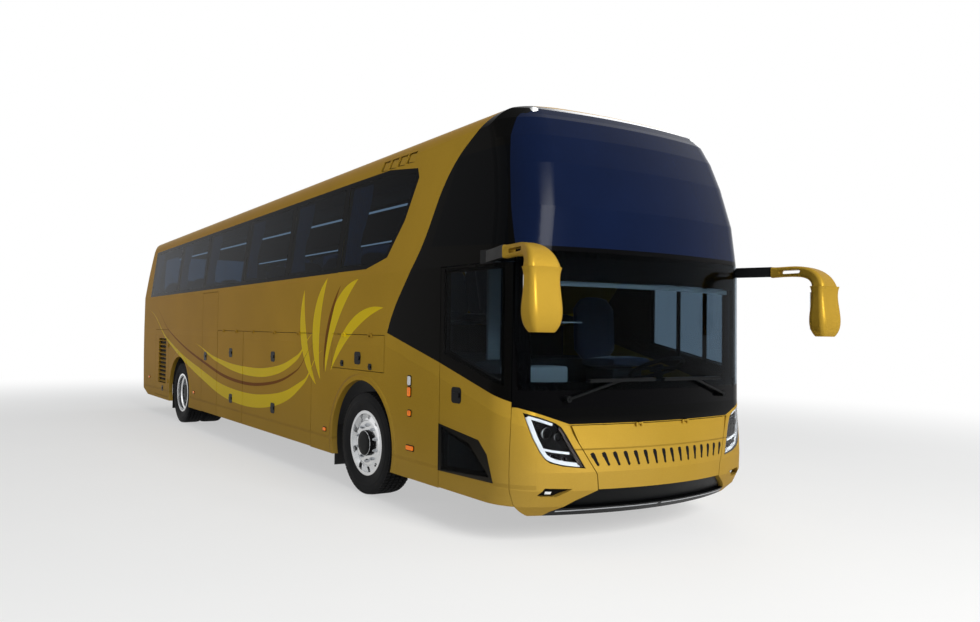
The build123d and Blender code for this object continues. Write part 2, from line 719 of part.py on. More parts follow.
def mirror_bracket():
    """The left bracket: a flat bar from the corner post to the arm."""
    start, end = (Vector(front_axle_x + x, y, z) for x, y, z in (mirror_root, mirror_elbow))
    reach = end - start
    bar = Plane(origin=start, x_dir=reach.cross(Vector(0, 0, 1)) * -1, z_dir=reach) * Rectangle(40, 84)
    bracket = extrude(bar, reach.length + 60)
    foot = block((1850, 1990), (half_width - 20, half_width + 22), (2040, 2140))
    return (bracket + foot - outer) & block((1500, mirror_elbow[0]), (0, far), (0, 3000))


mirror_arm = mirror_left()
mirrors = Compound([mirror_arm, mirrored(mirror_arm)])
bracket_left = mirror_bracket() - mirror_arm
mirror_brackets = Compound([bracket_left, mirrored(bracket_left)])

# Wipers: a pivot, an arm and a blade each, in front of the glass
def wiper(pivot_y, tip_y):
    """An arm lying along the foot of the windscreen."""
    x = 2462.0 - pivot_y**2 / 7600
    tip_x = 2448.0 - tip_y**2 / 7600
    hub_piece = at(x - 50, pivot_y, 1075) * Rot(0, 90, 0) * Cylinder(24, 96)
    line = Vector(tip_x - x, tip_y - pivot_y, 135)
    arm_plane = Plane(origin=(front_axle_x + x - 10, pivot_y, 1075), z_dir=line)
    arm = extrude(arm_plane * Rectangle(16, 22), amount=line.length)
    blade_plane = Plane(origin=(front_axle_x + tip_x - 14, tip_y - 330, 1206), z_dir=(0, 1, 0))
    blade = extrude(blade_plane * Rectangle(24, 30), amount=660)
    return hub_piece + arm + blade


wipers = (wiper(-880.0, -420.0) + wiper(760.0, 330.0)) - outer

# Lamps: markers on the dome, side markers, fog lamps
marker_lamps = []
for side in (-1, 1):
    marker_lamps.append(at(1935, side * 880, 3225) * Box(70, 70, 60) - outer)
lamps = Compound(
    [solid for group in (marker_lamps, [fog_lamps], [headlights], [tail_lamps]) for part in group
     for solid in part.solids()]
)

# Hinges, drawn about a point on the skin at the fixed panel's edge: the pin runs along local X
# a little outside the skin, the fixed panel lies towards +Z and the lid towards -Z
hinge_out = 6.0
hinge_pin = 5.0
hinge_fit = 0.05
ear_radius = 8.0
ear_half = 15.0
web_half = 35.0


def along_x(radius, half):
    """A cylinder along the hinge's pin."""
    return Pos(0, -hinge_out, 0) * Rot(0, 90, 0) * Cylinder(radius, 2 * half)


def span(x, y, z):
    """A box from three ranges, in a hinge's own frame."""
    size = [high - low for low, high in (x, y, z)]
    return Pos(*[(high + low) / 2 for low, high in (x, y, z)]) * Box(*size)


def hinge_ear(root):
    """The fixed panel's half: an ear with a bore."""
    foot = span((-ear_half, ear_half), (-hinge_out - 4, root), (2, 14))
    return along_x(ear_radius, ear_half) + foot - along_x(hinge_pin + hinge_fit, web_half)


def hinge_strap(root):
    """The lid's half: the pin and two straps."""
    strap = along_x(hinge_pin, web_half)
    for low, high in ((-web_half, -ear_half - 2), (ear_half + 2, web_half)):
        strap = strap + span((low, high), (-hinge_out - hinge_pin, -1.2), (-22, 0))
        strap = strap + span((low, high), (-hinge_out - hinge_pin, root), (-22, -8))
    return strap


def hung(fixed, lid, places, root):
    """Adds a hinge at each place to a fixed panel and to its lid."""
    for place in places:
        fixed = fixed + place * hinge_ear(root)
        lid = lid + place * hinge_strap(root)
    return fixed, lid


def waist_places(rear, front, count):
    """Hinges spread along a flap's upper edge, on the right side."""
    return [at(rear + (front - rear) * (index + 0.5) / count, -half_width, waist_z) for index in range(count)]


flat_root = 12.0
bowed_root = 24.0
(rear_flap, front_flap) = flap_rows
side_wall_right, flaps_right[0] = hung(side_wall_right, flaps_right[0], waist_places(*rear_flap, 2), flat_root)
side_wall_right, flaps_right[1] = hung(side_wall_right, flaps_right[1], waist_places(*front_flap, 3), flat_root)
side_wall_right, hatch_right = hung(side_wall_right, hatch_right, waist_places(*arch_hatch[:2], 2), flat_root)
service_places = [at(service[1], -half_width, z) * Rot(0, 90, 0) for z in (620.0, 1220.0)]
side_wall_right, service_right = hung(side_wall_right, service_right, service_places, flat_root)
service_left = mirrored(service_right)
flaps_left = [mirrored(flap) for flap in flaps_right]
left_places = waist_places(*rear_flap, 2) + waist_places(*front_flap, 3) + service_places
for place in left_places:
    side_wall_left = side_wall_left + mirrored(place * hinge_ear(flat_root))

engine_hinge = (-8778.8, engine_lid_box[3])
engine_places = [at(engine_hinge[0], y, engine_hinge[1]) * Rot(0, 0, -90) for y in (-300.0, 300.0)]
rear_wall, engine_lid = hung(rear_wall, engine_lid, engine_places, bowed_root)
front_hinge = (2414.4, 890.0)
front_places = [at(front_hinge[0], y, front_hinge[1]) * Rot(0, 0, 90) for y in (-250.0, 250.0)]
front_mask, front_lid = hung(front_mask, front_lid, front_places, bowed_root)

# Cabin furniture
seat_pitch = 800.0
seat_first = 250.0
seat_rows = 10
seat_width = 880.0
seat_side = 715.0


def seat_pair(x, y):
    """Two seats on one plinth: cushion, back and head rest in one side profile."""
    points = [
        (x, deck_top), (x + 60, deck_top + 330), (x + 60, deck_top + 430), (x - 380, deck_top + 400),
        (x - 560, deck_top + 1080), (x - 660, deck_top + 1060), (x - 500, deck_top + 300), (x - 360, deck_top),
    ]
    return prism(points, y - seat_width / 2, y + seat_width / 2)


seat_solids = []
for row in range(seat_rows):
    x = seat_first - row * seat_pitch
    over_stairs = x - 660 < stair_mid[1] and x + 60 > stair_mid[0]
    seat_solids.append(seat_pair(x, seat_side))
    if not over_stairs:
        seat_solids.append(seat_pair(x, -seat_side))
driver_y = 640.0
driver_seat_points = [
    (1500, cab_floor), (1540, cab_floor + 380), (1560, cab_floor + 470), (1120, cab_floor + 440),
    (1080, cab_floor + 1080), (1010, cab_floor + 1070), (1040, cab_floor + 380), (1120, cab_floor),
]
seat_solids.append(prism(driver_seat_points, driver_y - 250, driver_y + 250))
seats = Compound(seat_solids)
dash_points = [(2180, cab_floor), (2180, 1110), (2050, 1180), (1930, 1120), (1960, cab_floor)]
wheel_place = at(1800, driver_y, 1250) * Rot(0, -25, 0)
steering_wheel = wheel_place * (Torus(225, 17) + Box(40, 440, 16) + Cylinder(60, 26))
steering_wheel = steering_wheel + wheel_place * Pos(0, 0, -170) * Cylinder(30, 340)
column_hole = wheel_place * Pos(0, 0, -200) * Cylinder(30 + seat_gap, 400)
dashboard = prism(dash_points, -340, 1000) - column_hole
racks = block((-8000, 700), (-1200, -760), (2820, 2850))
racks = racks + block((-8000, 700), (-785, -760), (2780, 2850))
racks = racks & under_wall
racks = racks + mirrored(racks)

# Door arms: a post in the doorway and two arms to the leaf, which stays parallel
post_y = -half_width + 165
post_foot = 360.0 + seat_gap
arm_pin = 10.0
lug_inner = 26.0
lug_outer = 46.0


def door_arm(post_x, pivot_x, heights, post_head):
    """A vertical post and its arms, each with an eye at the leaf's pivot."""
    body = upright(22, post_x, post_y, post_foot, post_head)
    for z in heights:
        low, high = sorted((post_x, pivot_x))
        body = body + block((low, high), (post_y - 14, post_y + 14), (z - 16, z + 16))
        body = body + upright(26, pivot_x, post_y, z - 24, z + 24)
    return body - upright(arm_pin + pin_clearance, pivot_x, post_y, 0, 3000)


def with_lugs(leaf_part, pivot_x, heights):
    """Forked lugs on a leaf's inner side, with the pins that the arms' eyes turn on."""
    for z in heights:
        for sign in (-1, 1):
            low, high = sorted((z + sign * lug_inner, z + sign * lug_outer))
            lug = block((pivot_x - 22, pivot_x + 22), (-half_width + 30, post_y + 22), (low, high))
            leaf_part = leaf_part + lug
        leaf_part = leaf_part + upright(arm_pin, pivot_x, post_y, z - lug_outer, z + lug_outer)
    return leaf_part


# Post, pivot, arm heights and post head of each door
front_arm = (1985.0, 1435.0, (870.0, 1215.0), 1980.0)
mid_arm = (-4840.0, -4340.0, (600.0, 1750.0), 1930.0)
door_front_arm = door_arm(*front_arm)
door_mid_arm = door_arm(*mid_arm)
door_front_leaf = with_lugs(door_front_leaf, *front_arm[1:3])
door_mid_leaf = with_lugs(door_mid_leaf, *mid_arm[1:3])

nodes = {
    "side_wall_right": side_wall_right, "side_wall_left": side_wall_left, "roof": roof, "deck": deck,
    "wheel_boxes": Compound(wheel_boxes), "stairs": Compound(stairs), "luggage_bay": Compound(bay_boards),
    "chassis_frame": Compound(chassis_frame.solids()), "engine": engine,
    "front_frame": front_frame, "front_mask": front_mask, "front_bumper": Compound(bumper.solids()),
    "front_grille": front_grille, "front_lid": front_lid,
    "windscreen": windscreen, "dome_glass": dome_glass, "side_windows": side_windows,
    "rear_wall": rear_wall, "rear_window": rear_window, "engine_lid": engine_lid, "lamps": lamps,
    "wipers": wipers, "mirrors": mirrors, "mirror_brackets": mirror_brackets, "front_axle": front_axle, "rear_axle": rear_axle,
    "knuckle_right": knuckle_right, "knuckle_left": knuckle_left,
    "door_front": door_front_leaf, "door_front_glass": door_front_glass, "door_mid": door_mid_leaf,
    "door_front_arm": door_front_arm, "door_mid_arm": door_mid_arm,
    "flap_right_rear": flaps_right[0], "flap_right_front": flaps_right[1],
    "flap_left_rear": flaps_left[0], "flap_left_front": flaps_left[1], "arch_hatch": hatch_right,
    "service_door_right": service_right, "service_door_left": service_left,
    "tyre_front_right": tyre_front_right, "tyre_front_left": mirrored(tyre_front_right),
    "tyre_rear_right": tyre_rear_right, "tyre_rear_left": mirrored(tyre_rear_right),
    "rim_front_right": rim_front_right, "rim_front_left": mirrored(rim_front_right),
    "rim_rear_right": rim_rear_right, "rim_rear_left": mirrored(rim_rear_right),
    "seats": seats, "dashboard": dashboard, "steering_wheel": steering_wheel, "luggage_racks": racks,
}

os.makedirs("parts", exist_ok=True)
for name, shape in nodes.items():
    export_step(shape, f"parts/{name}.step")
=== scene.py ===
"""Looks of a long-distance coach: paint, glass, lamps, tyres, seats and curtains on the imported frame."""

import math

import bmesh
import bpy
from bpy.props import FloatProperty, FloatVectorProperty, IntProperty
from mathutils import Matrix, Vector
from mathutils.bvhtree import BVHTree


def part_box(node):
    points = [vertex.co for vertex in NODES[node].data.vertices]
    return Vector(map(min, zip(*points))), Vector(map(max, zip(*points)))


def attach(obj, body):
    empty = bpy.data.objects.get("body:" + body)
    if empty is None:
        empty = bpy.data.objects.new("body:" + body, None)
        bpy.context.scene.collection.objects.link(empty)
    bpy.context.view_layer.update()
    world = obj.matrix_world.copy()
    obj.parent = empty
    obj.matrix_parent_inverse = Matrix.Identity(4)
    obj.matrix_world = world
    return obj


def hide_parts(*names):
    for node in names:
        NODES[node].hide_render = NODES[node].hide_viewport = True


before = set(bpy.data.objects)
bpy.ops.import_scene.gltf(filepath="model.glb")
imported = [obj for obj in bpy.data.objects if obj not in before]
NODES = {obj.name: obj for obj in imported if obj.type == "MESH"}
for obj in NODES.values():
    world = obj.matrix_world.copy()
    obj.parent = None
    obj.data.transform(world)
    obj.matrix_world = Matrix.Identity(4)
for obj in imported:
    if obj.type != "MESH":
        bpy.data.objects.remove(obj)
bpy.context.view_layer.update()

bl_info = {
    "name": "Coach Looks",
    "version": (1, 0, 0),
    "blender": (4, 5, 0),
    "location": "3D View > Sidebar > Coach",
    "description": "Dresses the coach's fixed frame with paint, glass, lamps, tyres and cabin fittings",
    "category": "Object",
}

# Places, in metres. Rows along the body give X from the front axle
AXLE = sum(corner.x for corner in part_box("front_axle")) / 2
WHEEL_Z = 0.478
REAR_AXLE = -6.1
WHEEL_Y = 1.094
REAR_INNER_Y = 0.775
FAR = 9.0
SLOT_Z = 0.646
FLOOR_Z = 1.300
SEAT_PITCH = 0.8
HEM_Z = 2.170
# Stripe curves run over 10 m of X from this place and over 2.5 m of Z
STRIPE_START = -8.8
STRIPE_SPAN = 10.0
STRIPE_HEIGHT = 2.5

# Kinds of node that come up often
MATH = "ShaderNodeMath"
VECTOR_MATH = "ShaderNodeVectorMath"
MAP_RANGE = "ShaderNodeMapRange"
NOISE = "ShaderNodeTexNoise"
MIX = "ShaderNodeMix"
PRINCIPLED = "ShaderNodeBsdfPrincipled"

FLAPS = ("flap_right_rear", "flap_right_front", "flap_left_rear", "flap_left_front", "arch_hatch")
SERVICE = ("service_door_right", "service_door_left")
PAINTED = ("side_wall_right", "side_wall_left", "roof", "front_mask", "front_bumper", "front_lid",
           "rear_wall",
           "engine_lid", "door_front", "door_mid") + FLAPS + SERVICE
WHEELS = (
    ("wheel_front_right", 0.0, (-WHEEL_Y,)),
    ("wheel_front_left", 0.0, (WHEEL_Y,)),
    ("wheel_rear_right", REAR_AXLE, (-WHEEL_Y, -REAR_INNER_Y)),
    ("wheel_rear_left", REAR_AXLE, (WHEEL_Y, REAR_INNER_Y)),
)

# Front lamp, one half, as (|Y|, Z)
LAMP = [
    (1.167, 0.973), (1.056, 0.939), (0.959, 0.903), (0.916, 0.874), (0.882, 0.822), (0.833, 0.730),
    (0.756, 0.588),
    (0.920, 0.605), (1.012, 0.630), (1.046, 0.656), (1.078, 0.701), (1.120, 0.798), (1.149, 0.905),
]
LAMP_BAND = [
    (0.785, 0.608), (0.840, 0.615), (0.905, 0.624), (0.965, 0.639), (1.010, 0.657), (1.036, 0.680),
    (1.060, 0.724),
    (1.096, 0.806), (1.124, 0.900), (1.138, 0.944),
]
LAMP_TOP = [(1.132, 0.944), (1.056, 0.920), (0.972, 0.893)]
LAMP_BAR = [(1.050, 0.722), (0.975, 0.706), (0.855, 0.690)]
FOG = [(1.084, 0.401), (1.044, 0.450), (0.850, 0.443), (0.949, 0.389), (1.054, 0.390)]
FOG_BAND = [(1.014, 0.413), (0.972, 0.411)]
LID_EDGE = [(0.862, 0.880), (0.790, 0.760), (0.668, 0.545)]
REAR_LAMP = [(1.158, 0.902), (0.987, 0.902), (0.987, 1.478), (1.119, 1.478)]

# Paint edges on the side: front edge of the glass sweep as (Z, X), its lower slope as (X, Z)
SWEEP_EDGE = [(0.0, 0.20), (1.515, 0.473), (2.214, 0.963), (2.847, 1.287), (3.114, 1.604), (3.40, 2.10)]
SWEEP_SLOPE = [(0.0, 1.643), (0.473, 1.515), (1.304, 1.290), (2.189, 1.030), (3.0, 0.80)]
DOOR_PATCH = [(1.300, 0.437), (1.300, 0.810), (1.826, 0.743), (1.929, 0.652), (2.004, 0.455)]

# Flowing stripes: colour name, centre line and half width, both by X
STRIPES = [
    ("stripe", [(-8.3, 1.86), (-6.8, 1.30), (-5.0, 0.86), (-3.5, 0.64), (-2.2, 0.69), (-1.3, 0.96),
                (-0.75, 1.34)],
     [(-8.3, 0.0), (-6.4, 0.030), (-4.4, 0.075), (-2.9, 0.085), (-1.7, 0.060), (-0.75, 0.0)]),
    ("accent", [(-8.1, 1.98), (-6.6, 1.42), (-4.8, 1.02), (-3.4, 0.84), (-2.3, 0.88), (-1.5, 1.07),
                (-0.9, 1.42)],
     [(-8.1, 0.0), (-6.2, 0.014), (-3.4, 0.022), (-1.7, 0.015), (-0.9, 0.0)]),
    ("stripe", [(-5.4, 1.30), (-4.2, 1.08), (-3.1, 0.99), (-2.2, 1.03), (-1.5, 1.21), (-0.95, 1.52)],
     [(-5.4, 0.0), (-4.0, 0.035), (-2.7, 0.055), (-1.7, 0.040), (-0.95, 0.0)]),
]
# Fan of tapered strokes: colour name, foot, tip, bulge of its outer and inner arcs
STROKES = [
    ("stripe", (-0.98, 0.96), (-1.30, 1.96), 0.24, 0.09),
    ("stripe", (-0.88, 1.02), (-0.74, 2.06), 0.27, 0.10),
    ("accent", (-0.80, 1.10), (-0.44, 1.98), 0.12, 0.06),
    ("stripe", (-0.76, 1.10), (-0.08, 2.02), 0.26, 0.10),
    ("stripe", (-0.64, 1.12), (0.40, 1.74), 0.22, 0.10),
]

# Side lamps and fittings on each side: kind, X, Z, width, height
SIDE_LAMPS = [
    ("clear", 0.861, 1.118, 0.044, 0.076), ("amber", 0.861, 1.024, 0.044, 0.076),
    ("amber", 0.869, 0.845, 0.046, 0.046), ("amber", 0.885, 0.555, 0.110, 0.036),
    ("amber", -0.750, 0.524, 0.060, 0.032), ("amber", -5.270, 0.548, 0.060, 0.032),
    ("amber", -8.000, 0.620, 0.060, 0.032),
]
# Catches: body on the right, body on the left, X, Z, side length
CATCHES = [
    ("door_front", None, 1.540, 1.050, 0.125), ("arch_hatch", None, -0.073, 1.271, 0.120),
    ("arch_hatch", None, -0.392, 1.209, 0.060), ("arch_hatch", None, 0.170, 1.199, 0.060),
    ("flap_right_rear", "flap_left_rear", -3.650, 1.200, 0.120),
    ("flap_right_front", "flap_left_front", -2.170, 1.205, 0.120),
    ("flap_right_rear", "flap_left_rear", -3.620, 0.594, 0.120),
    ("flap_right_front", "flap_left_front", -2.150, 0.604, 0.120),
    ("service_door_right", "service_door_left", -7.100, 0.480, 0.090),
    ("door_mid", None, -4.748, 1.111, 0.120),
]
# Side panes: rear edge and front edge of each
PANES = [(-8.040, -6.345), (-6.335, -4.945), (-4.935, -3.295), (-3.285, -1.845), (-1.835, -0.545)]
# Pane outlines as (X, Z), clockwise: the rows, the front side pane, over the door, the driver's
PANE_OUTLINES = [
    [(a, 2.105 + 0.006 * a), (a, 3.010 + 0.0175 * a), (b, 3.010 + 0.0175 * b), (b, 2.105 + 0.006 * b)]
    for a, b in PANES
] + [
    [(-0.535, 2.105), (-0.535, 3.001), (0.276, 3.012), (0.760, 2.950), (0.800, 2.860), (0.650, 2.500),
     (0.420, 2.190),
     (0.050, 2.105)],
    [(1.120, 2.230), (1.380, 2.930), (1.965, 2.930), (2.085, 2.170)],
    [(1.180, 1.420), (1.180, 2.060), (2.060, 2.060), (2.060, 1.230)],
]
PANE_BAND = 0.047
CURTAIN_TIES = [2.40, 2.46, 2.38, 2.44, 2.42, 2.39]


def linear(code):
    """Turns an sRGB hex code into a linear colour."""
    channels = [int(code[i:i + 2], 16) / 255 for i in (1, 3, 5)]
    return tuple(c / 12.92 if c <= 0.04045 else ((c + 0.055) / 1.055) ** 2.4 for c in channels) + (1.0,)


def add(tree, kind, inputs=(), operation=None, **settings):
    """Adds one node to a tree with its settings; inputs go by socket name, or as a list in socket order."""
    node = tree.nodes.new(kind)
    if operation:
        node.operation = operation
    for name, value in settings.items():
        setattr(node, name, value)
    for name, value in inputs.items() if isinstance(inputs, dict) else enumerate(inputs):
        if isinstance(value, bpy.types.Node):
            value = value.outputs[0]
        if isinstance(value, bpy.types.NodeSocket):
            tree.links.new(value, node.inputs[name])
        else:
            node.inputs[name].default_value = value
    return node


def shape_curve(node, points, smooth=True):
    """Gives a curve node its points, which lie in 0 to 1."""
    curve = node.mapping.curves[0]
    curve.points[0].location = points[0]
    curve.points[1].location = points[-1]
    for point in points[1:-1]:
        curve.points.new(*point)
    for point in curve.points:
        point.handle_type = "AUTO" if smooth else "VECTOR"
    node.mapping.update()


def blank_material(name):
    """An empty node material, its tree and the place of a point on it."""
    material = bpy.data.materials.new(name)
    material.use_nodes = True
    tree = material.node_tree
    tree.nodes.clear()
    return material, tree, add(tree, "ShaderNodeTexCoord").outputs["Object"]


def close_material(material, shader):
    """Links a shader to the material's output."""
    add(material.node_tree, "ShaderNodeOutputMaterial", {"Surface": shader})
    return material


def side_axes(tree, place):
    """The axes of a point, its X from the front axle, and its place on the side as (X, Z)."""
    axes = add(tree, "ShaderNodeSeparateXYZ", [place])
    x = add(tree, MATH, [axes.outputs["X"], AXLE], "SUBTRACT")
    flat = add(tree, "ShaderNodeCombineXYZ", {"X": x, "Y": axes.outputs["Z"]})
    return axes, x, flat


def seen_directly(tree):
    """1 where the backdrop itself is seen: by the camera, in a mirror or through glass."""
    path = add(tree, "ShaderNodeLightPath")
    seen = path.outputs["Is Camera Ray"]
    for ray in ("Is Glossy Ray", "Is Transmission Ray"):
        seen = add(tree, MATH, [seen, path.outputs[ray]], "MAXIMUM")
    return seen


# Body paint

def livery_masks(tree, place):
    """Where the side is glossy black, stripe or accent, and how far its creases stand out."""
    axes, x, flat = side_axes(tree, place)
    across = add(tree, MATH, [axes.outputs["Y"]], "ABSOLUTE")
    z = axes.outputs["Z"]
    # front edge of the black sweep, X by Z, both over 4 m
    high = add(tree, MATH, [z, 4.0], "DIVIDE")
    edge = add(tree, "ShaderNodeFloatCurve", {"Value": high})
    shape_curve(edge, [(0.0, 0.05)] + [(a / 4, b / 4) for a, b in SWEEP_EDGE[1:]] + [(1.0, 0.8)])
    edge = add(tree, MATH, [edge, 4.0], "MULTIPLY")
    ahead = add(tree, MATH, [x, edge], "SUBTRACT")
    # its lower slope on the side, Z by X, and the level edge across the front
    along = add(tree, MATH, [x, 3.0], "DIVIDE")
    slope = add(tree, "ShaderNodeFloatCurve", {"Value": along})
    shape_curve(slope, [(a / 3, b / 3) for a, b in SWEEP_SLOPE], smooth=False)
    slope = add(tree, MATH, [slope, 3.0], "MULTIPLY")
    outward = add(tree, MATH, [across, 0.85], "SUBTRACT")
    outward = add(tree, MATH, [outward, 0.0], "MAXIMUM")
    level = add(tree, MATH, [outward, 0.33, 0.895], "MULTIPLY_ADD")
    on_front = add(tree, MATH, [x, 2.137], "GREATER_THAN")
    foot = add(tree, MIX, {"Factor": on_front, "A": slope, "B": level})
    above = add(tree, MATH, [z, foot], "SUBTRACT")
    sweep = add(tree, MATH, [ahead, above], "MINIMUM")
    black = add(tree, MATH, [sweep, 0.0], "GREATER_THAN")
    # surround of the door's lower pane
    inside = depth_inside(tree, flat, DOOR_PATCH)
    right_side = add(tree, MATH, [axes.outputs["Y"], -1.0], "LESS_THAN")
    patch = add(tree, MATH, [inside, 0.0], "GREATER_THAN")
    patch = add(tree, MATH, [patch, right_side], "MULTIPLY")
    black = add(tree, MATH, [black, patch], "MAXIMUM")
    # shut lines between the side panes
    for _, edge_x in PANES:
        reach = add(tree, MATH, [z, 2.5575 + 0.01175 * edge_x, 0.4525 + 0.00575 * edge_x], "COMPARE")
        seam = add(tree, MATH, [x, edge_x + 0.005, 0.012], "COMPARE")
        seam = add(tree, MATH, [seam, reach], "MULTIPLY")
        black = add(tree, MATH, [black, seam], "MAXIMUM")
    # stripes and strokes only on the sides
    side = add(tree, MATH, [across, 1.10], "GREATER_THAN")
    found = {"stripe": None, "accent": None}
    reach = add(tree, MATH, [x, STRIPE_START], "SUBTRACT")
    reach = add(tree, MATH, [reach, STRIPE_SPAN], "DIVIDE")
    for kind, centre, half in STRIPES:
        line = add(tree, "ShaderNodeFloatCurve", {"Value": reach})
        middle = [((a - STRIPE_START) / STRIPE_SPAN, b / STRIPE_HEIGHT) for a, b in centre]
        shape_curve(line, [(0.0, middle[0][1])] + middle + [(1.0, middle[-1][1])])
        line = add(tree, MATH, [line, STRIPE_HEIGHT], "MULTIPLY")
        swell = add(tree, "ShaderNodeFloatCurve", {"Value": reach})
        shape_curve(swell, [(0.0, 0.0)] + [((a - STRIPE_START) / STRIPE_SPAN, b * 5) for a,
                                           b in half] + [(1.0, 0.0)])
        swell = add(tree, MATH, [swell, 0.2], "MULTIPLY")
        off = add(tree, MATH, [z, line], "SUBTRACT")
        off = add(tree, MATH, [off], "ABSOLUTE")
        off = add(tree, MATH, [off, 0.0015], "ADD")
        mask = add(tree, MATH, [off, swell], "LESS_THAN")
        found[kind] = mask if found[kind] is None else add(
            tree, MATH, [found[kind], mask], "MAXIMUM")
    for kind, foot_point, tip, outer_bulge, inner_bulge in STROKES:
        insides = []
        for bulge in (outer_bulge, inner_bulge):
            centre, radius = circle_through(foot_point, tip, bulge)
            gap = add(tree, VECTOR_MATH, [flat, (centre[0], centre[1], 0.0)], "DISTANCE")
            insides.append(add(tree, MATH, [gap.outputs["Value"], radius], "LESS_THAN"))
        # beyond the chord on the bulging side, inside the outer arc and outside the inner one
        stroke = add(tree, MATH, [insides[0], insides[1]], "SUBTRACT")
        stroke = add(tree, MATH, [stroke, 0.5], "GREATER_THAN")
        normal, offset = chord_side(foot_point, tip)
        beyond = add(tree, VECTOR_MATH, [flat, normal], "DOT_PRODUCT")
        beyond = add(tree, MATH, [beyond.outputs["Value"], offset], "GREATER_THAN")
        stroke = add(tree, MATH, [stroke, beyond], "MULTIPLY")
        found[kind] = add(tree, MATH, [found[kind], stroke], "MAXIMUM")
    for kind, mask in found.items():
        found[kind] = add(tree, MATH, [mask, side], "MULTIPLY")
    # creases, as heights in metres: bevel under the sweep, waist band, arch lips, sill
    below = add(tree, MAP_RANGE, [above, -0.12, 0.0, 0.022, 0.0])
    waist = add(tree, MAP_RANGE, [z, 1.395, 1.488, 0.020, 0.0])
    behind = add(tree, MATH, [x, 0.473], "LESS_THAN")
    crease = add(tree, MIX, {"Factor": behind, "A": below, "B": waist})
    sill = add(tree, MAP_RANGE, [z, 0.44, 0.47, -0.010, 0.0])
    crease = add(tree, MATH, [crease, sill], "ADD")
    for arch_x in (0.0, REAR_AXLE):
        gap = add(tree, VECTOR_MATH, [flat, (arch_x, WHEEL_Z, 0.0)], "DISTANCE")
        lip = add(tree, MAP_RANGE, [gap.outputs["Value"], 0.63, 0.65, 0.012, 0.0])
        crease = add(tree, MATH, [crease, lip], "ADD")
    crease = add(tree, MATH, [crease, side], "MULTIPLY")
    # the front: the lid's upper half stands proud of its lower half
    step = add(tree, MAP_RANGE, [z, 0.712, 0.724, 0.0, 0.010])
    middle = add(tree, MATH, [across, 0.84], "LESS_THAN")
    front = add(tree, MATH, [step, middle], "MULTIPLY")
    crease = add(tree, MATH, [front, on_front, crease], "MULTIPLY_ADD")
    return z, black, found["stripe"], found["accent"], crease


def depth_inside(tree, flat, outline):
    """How deep a point lies inside a convex outline that runs the way the clock does, in metres."""
    inside = None
    for (xa, za), (xb, zb) in zip(outline, outline[1:] + outline[:1]):
        length = math.hypot(xb - xa, zb - za)
        normal = ((zb - za) / length, -(xb - xa) / length, 0.0)
        reach = add(tree, VECTOR_MATH, [flat, normal], "DOT_PRODUCT")
        reach = add(tree, MATH, [reach.outputs["Value"], normal[0] * xa + normal[1] * za], "SUBTRACT")
        inside = reach if inside is None else add(tree, MATH, [inside, reach], "MINIMUM")
    return inside


def chord_side(foot_point, tip):
    """The chord's normal towards the bulge, on its left going up, and its offset."""
    dx, dz = tip[0] - foot_point[0], tip[1] - foot_point[1]
    length = math.hypot(dx, dz)
    normal = (-dz / length, dx / length, 0.0)
    return normal, normal[0] * foot_point[0] + normal[1] * foot_point[1]


def circle_through(foot_point, tip, bulge):
    """Centre and radius of the arc through two points that bulges to the left of the way up."""
    normal, _ = chord_side(foot_point, tip)
    chord = math.hypot(tip[0] - foot_point[0], tip[1] - foot_point[1])
    radius = (chord ** 2 / 4 + bulge ** 2) / (2 * bulge)
    middle = ((foot_point[0] + tip[0]) / 2, (foot_point[1] + tip[1]) / 2)
    return (middle[0] - normal[0] * (radius - bulge), middle[1] - normal[1] * (radius - bulge)), radius


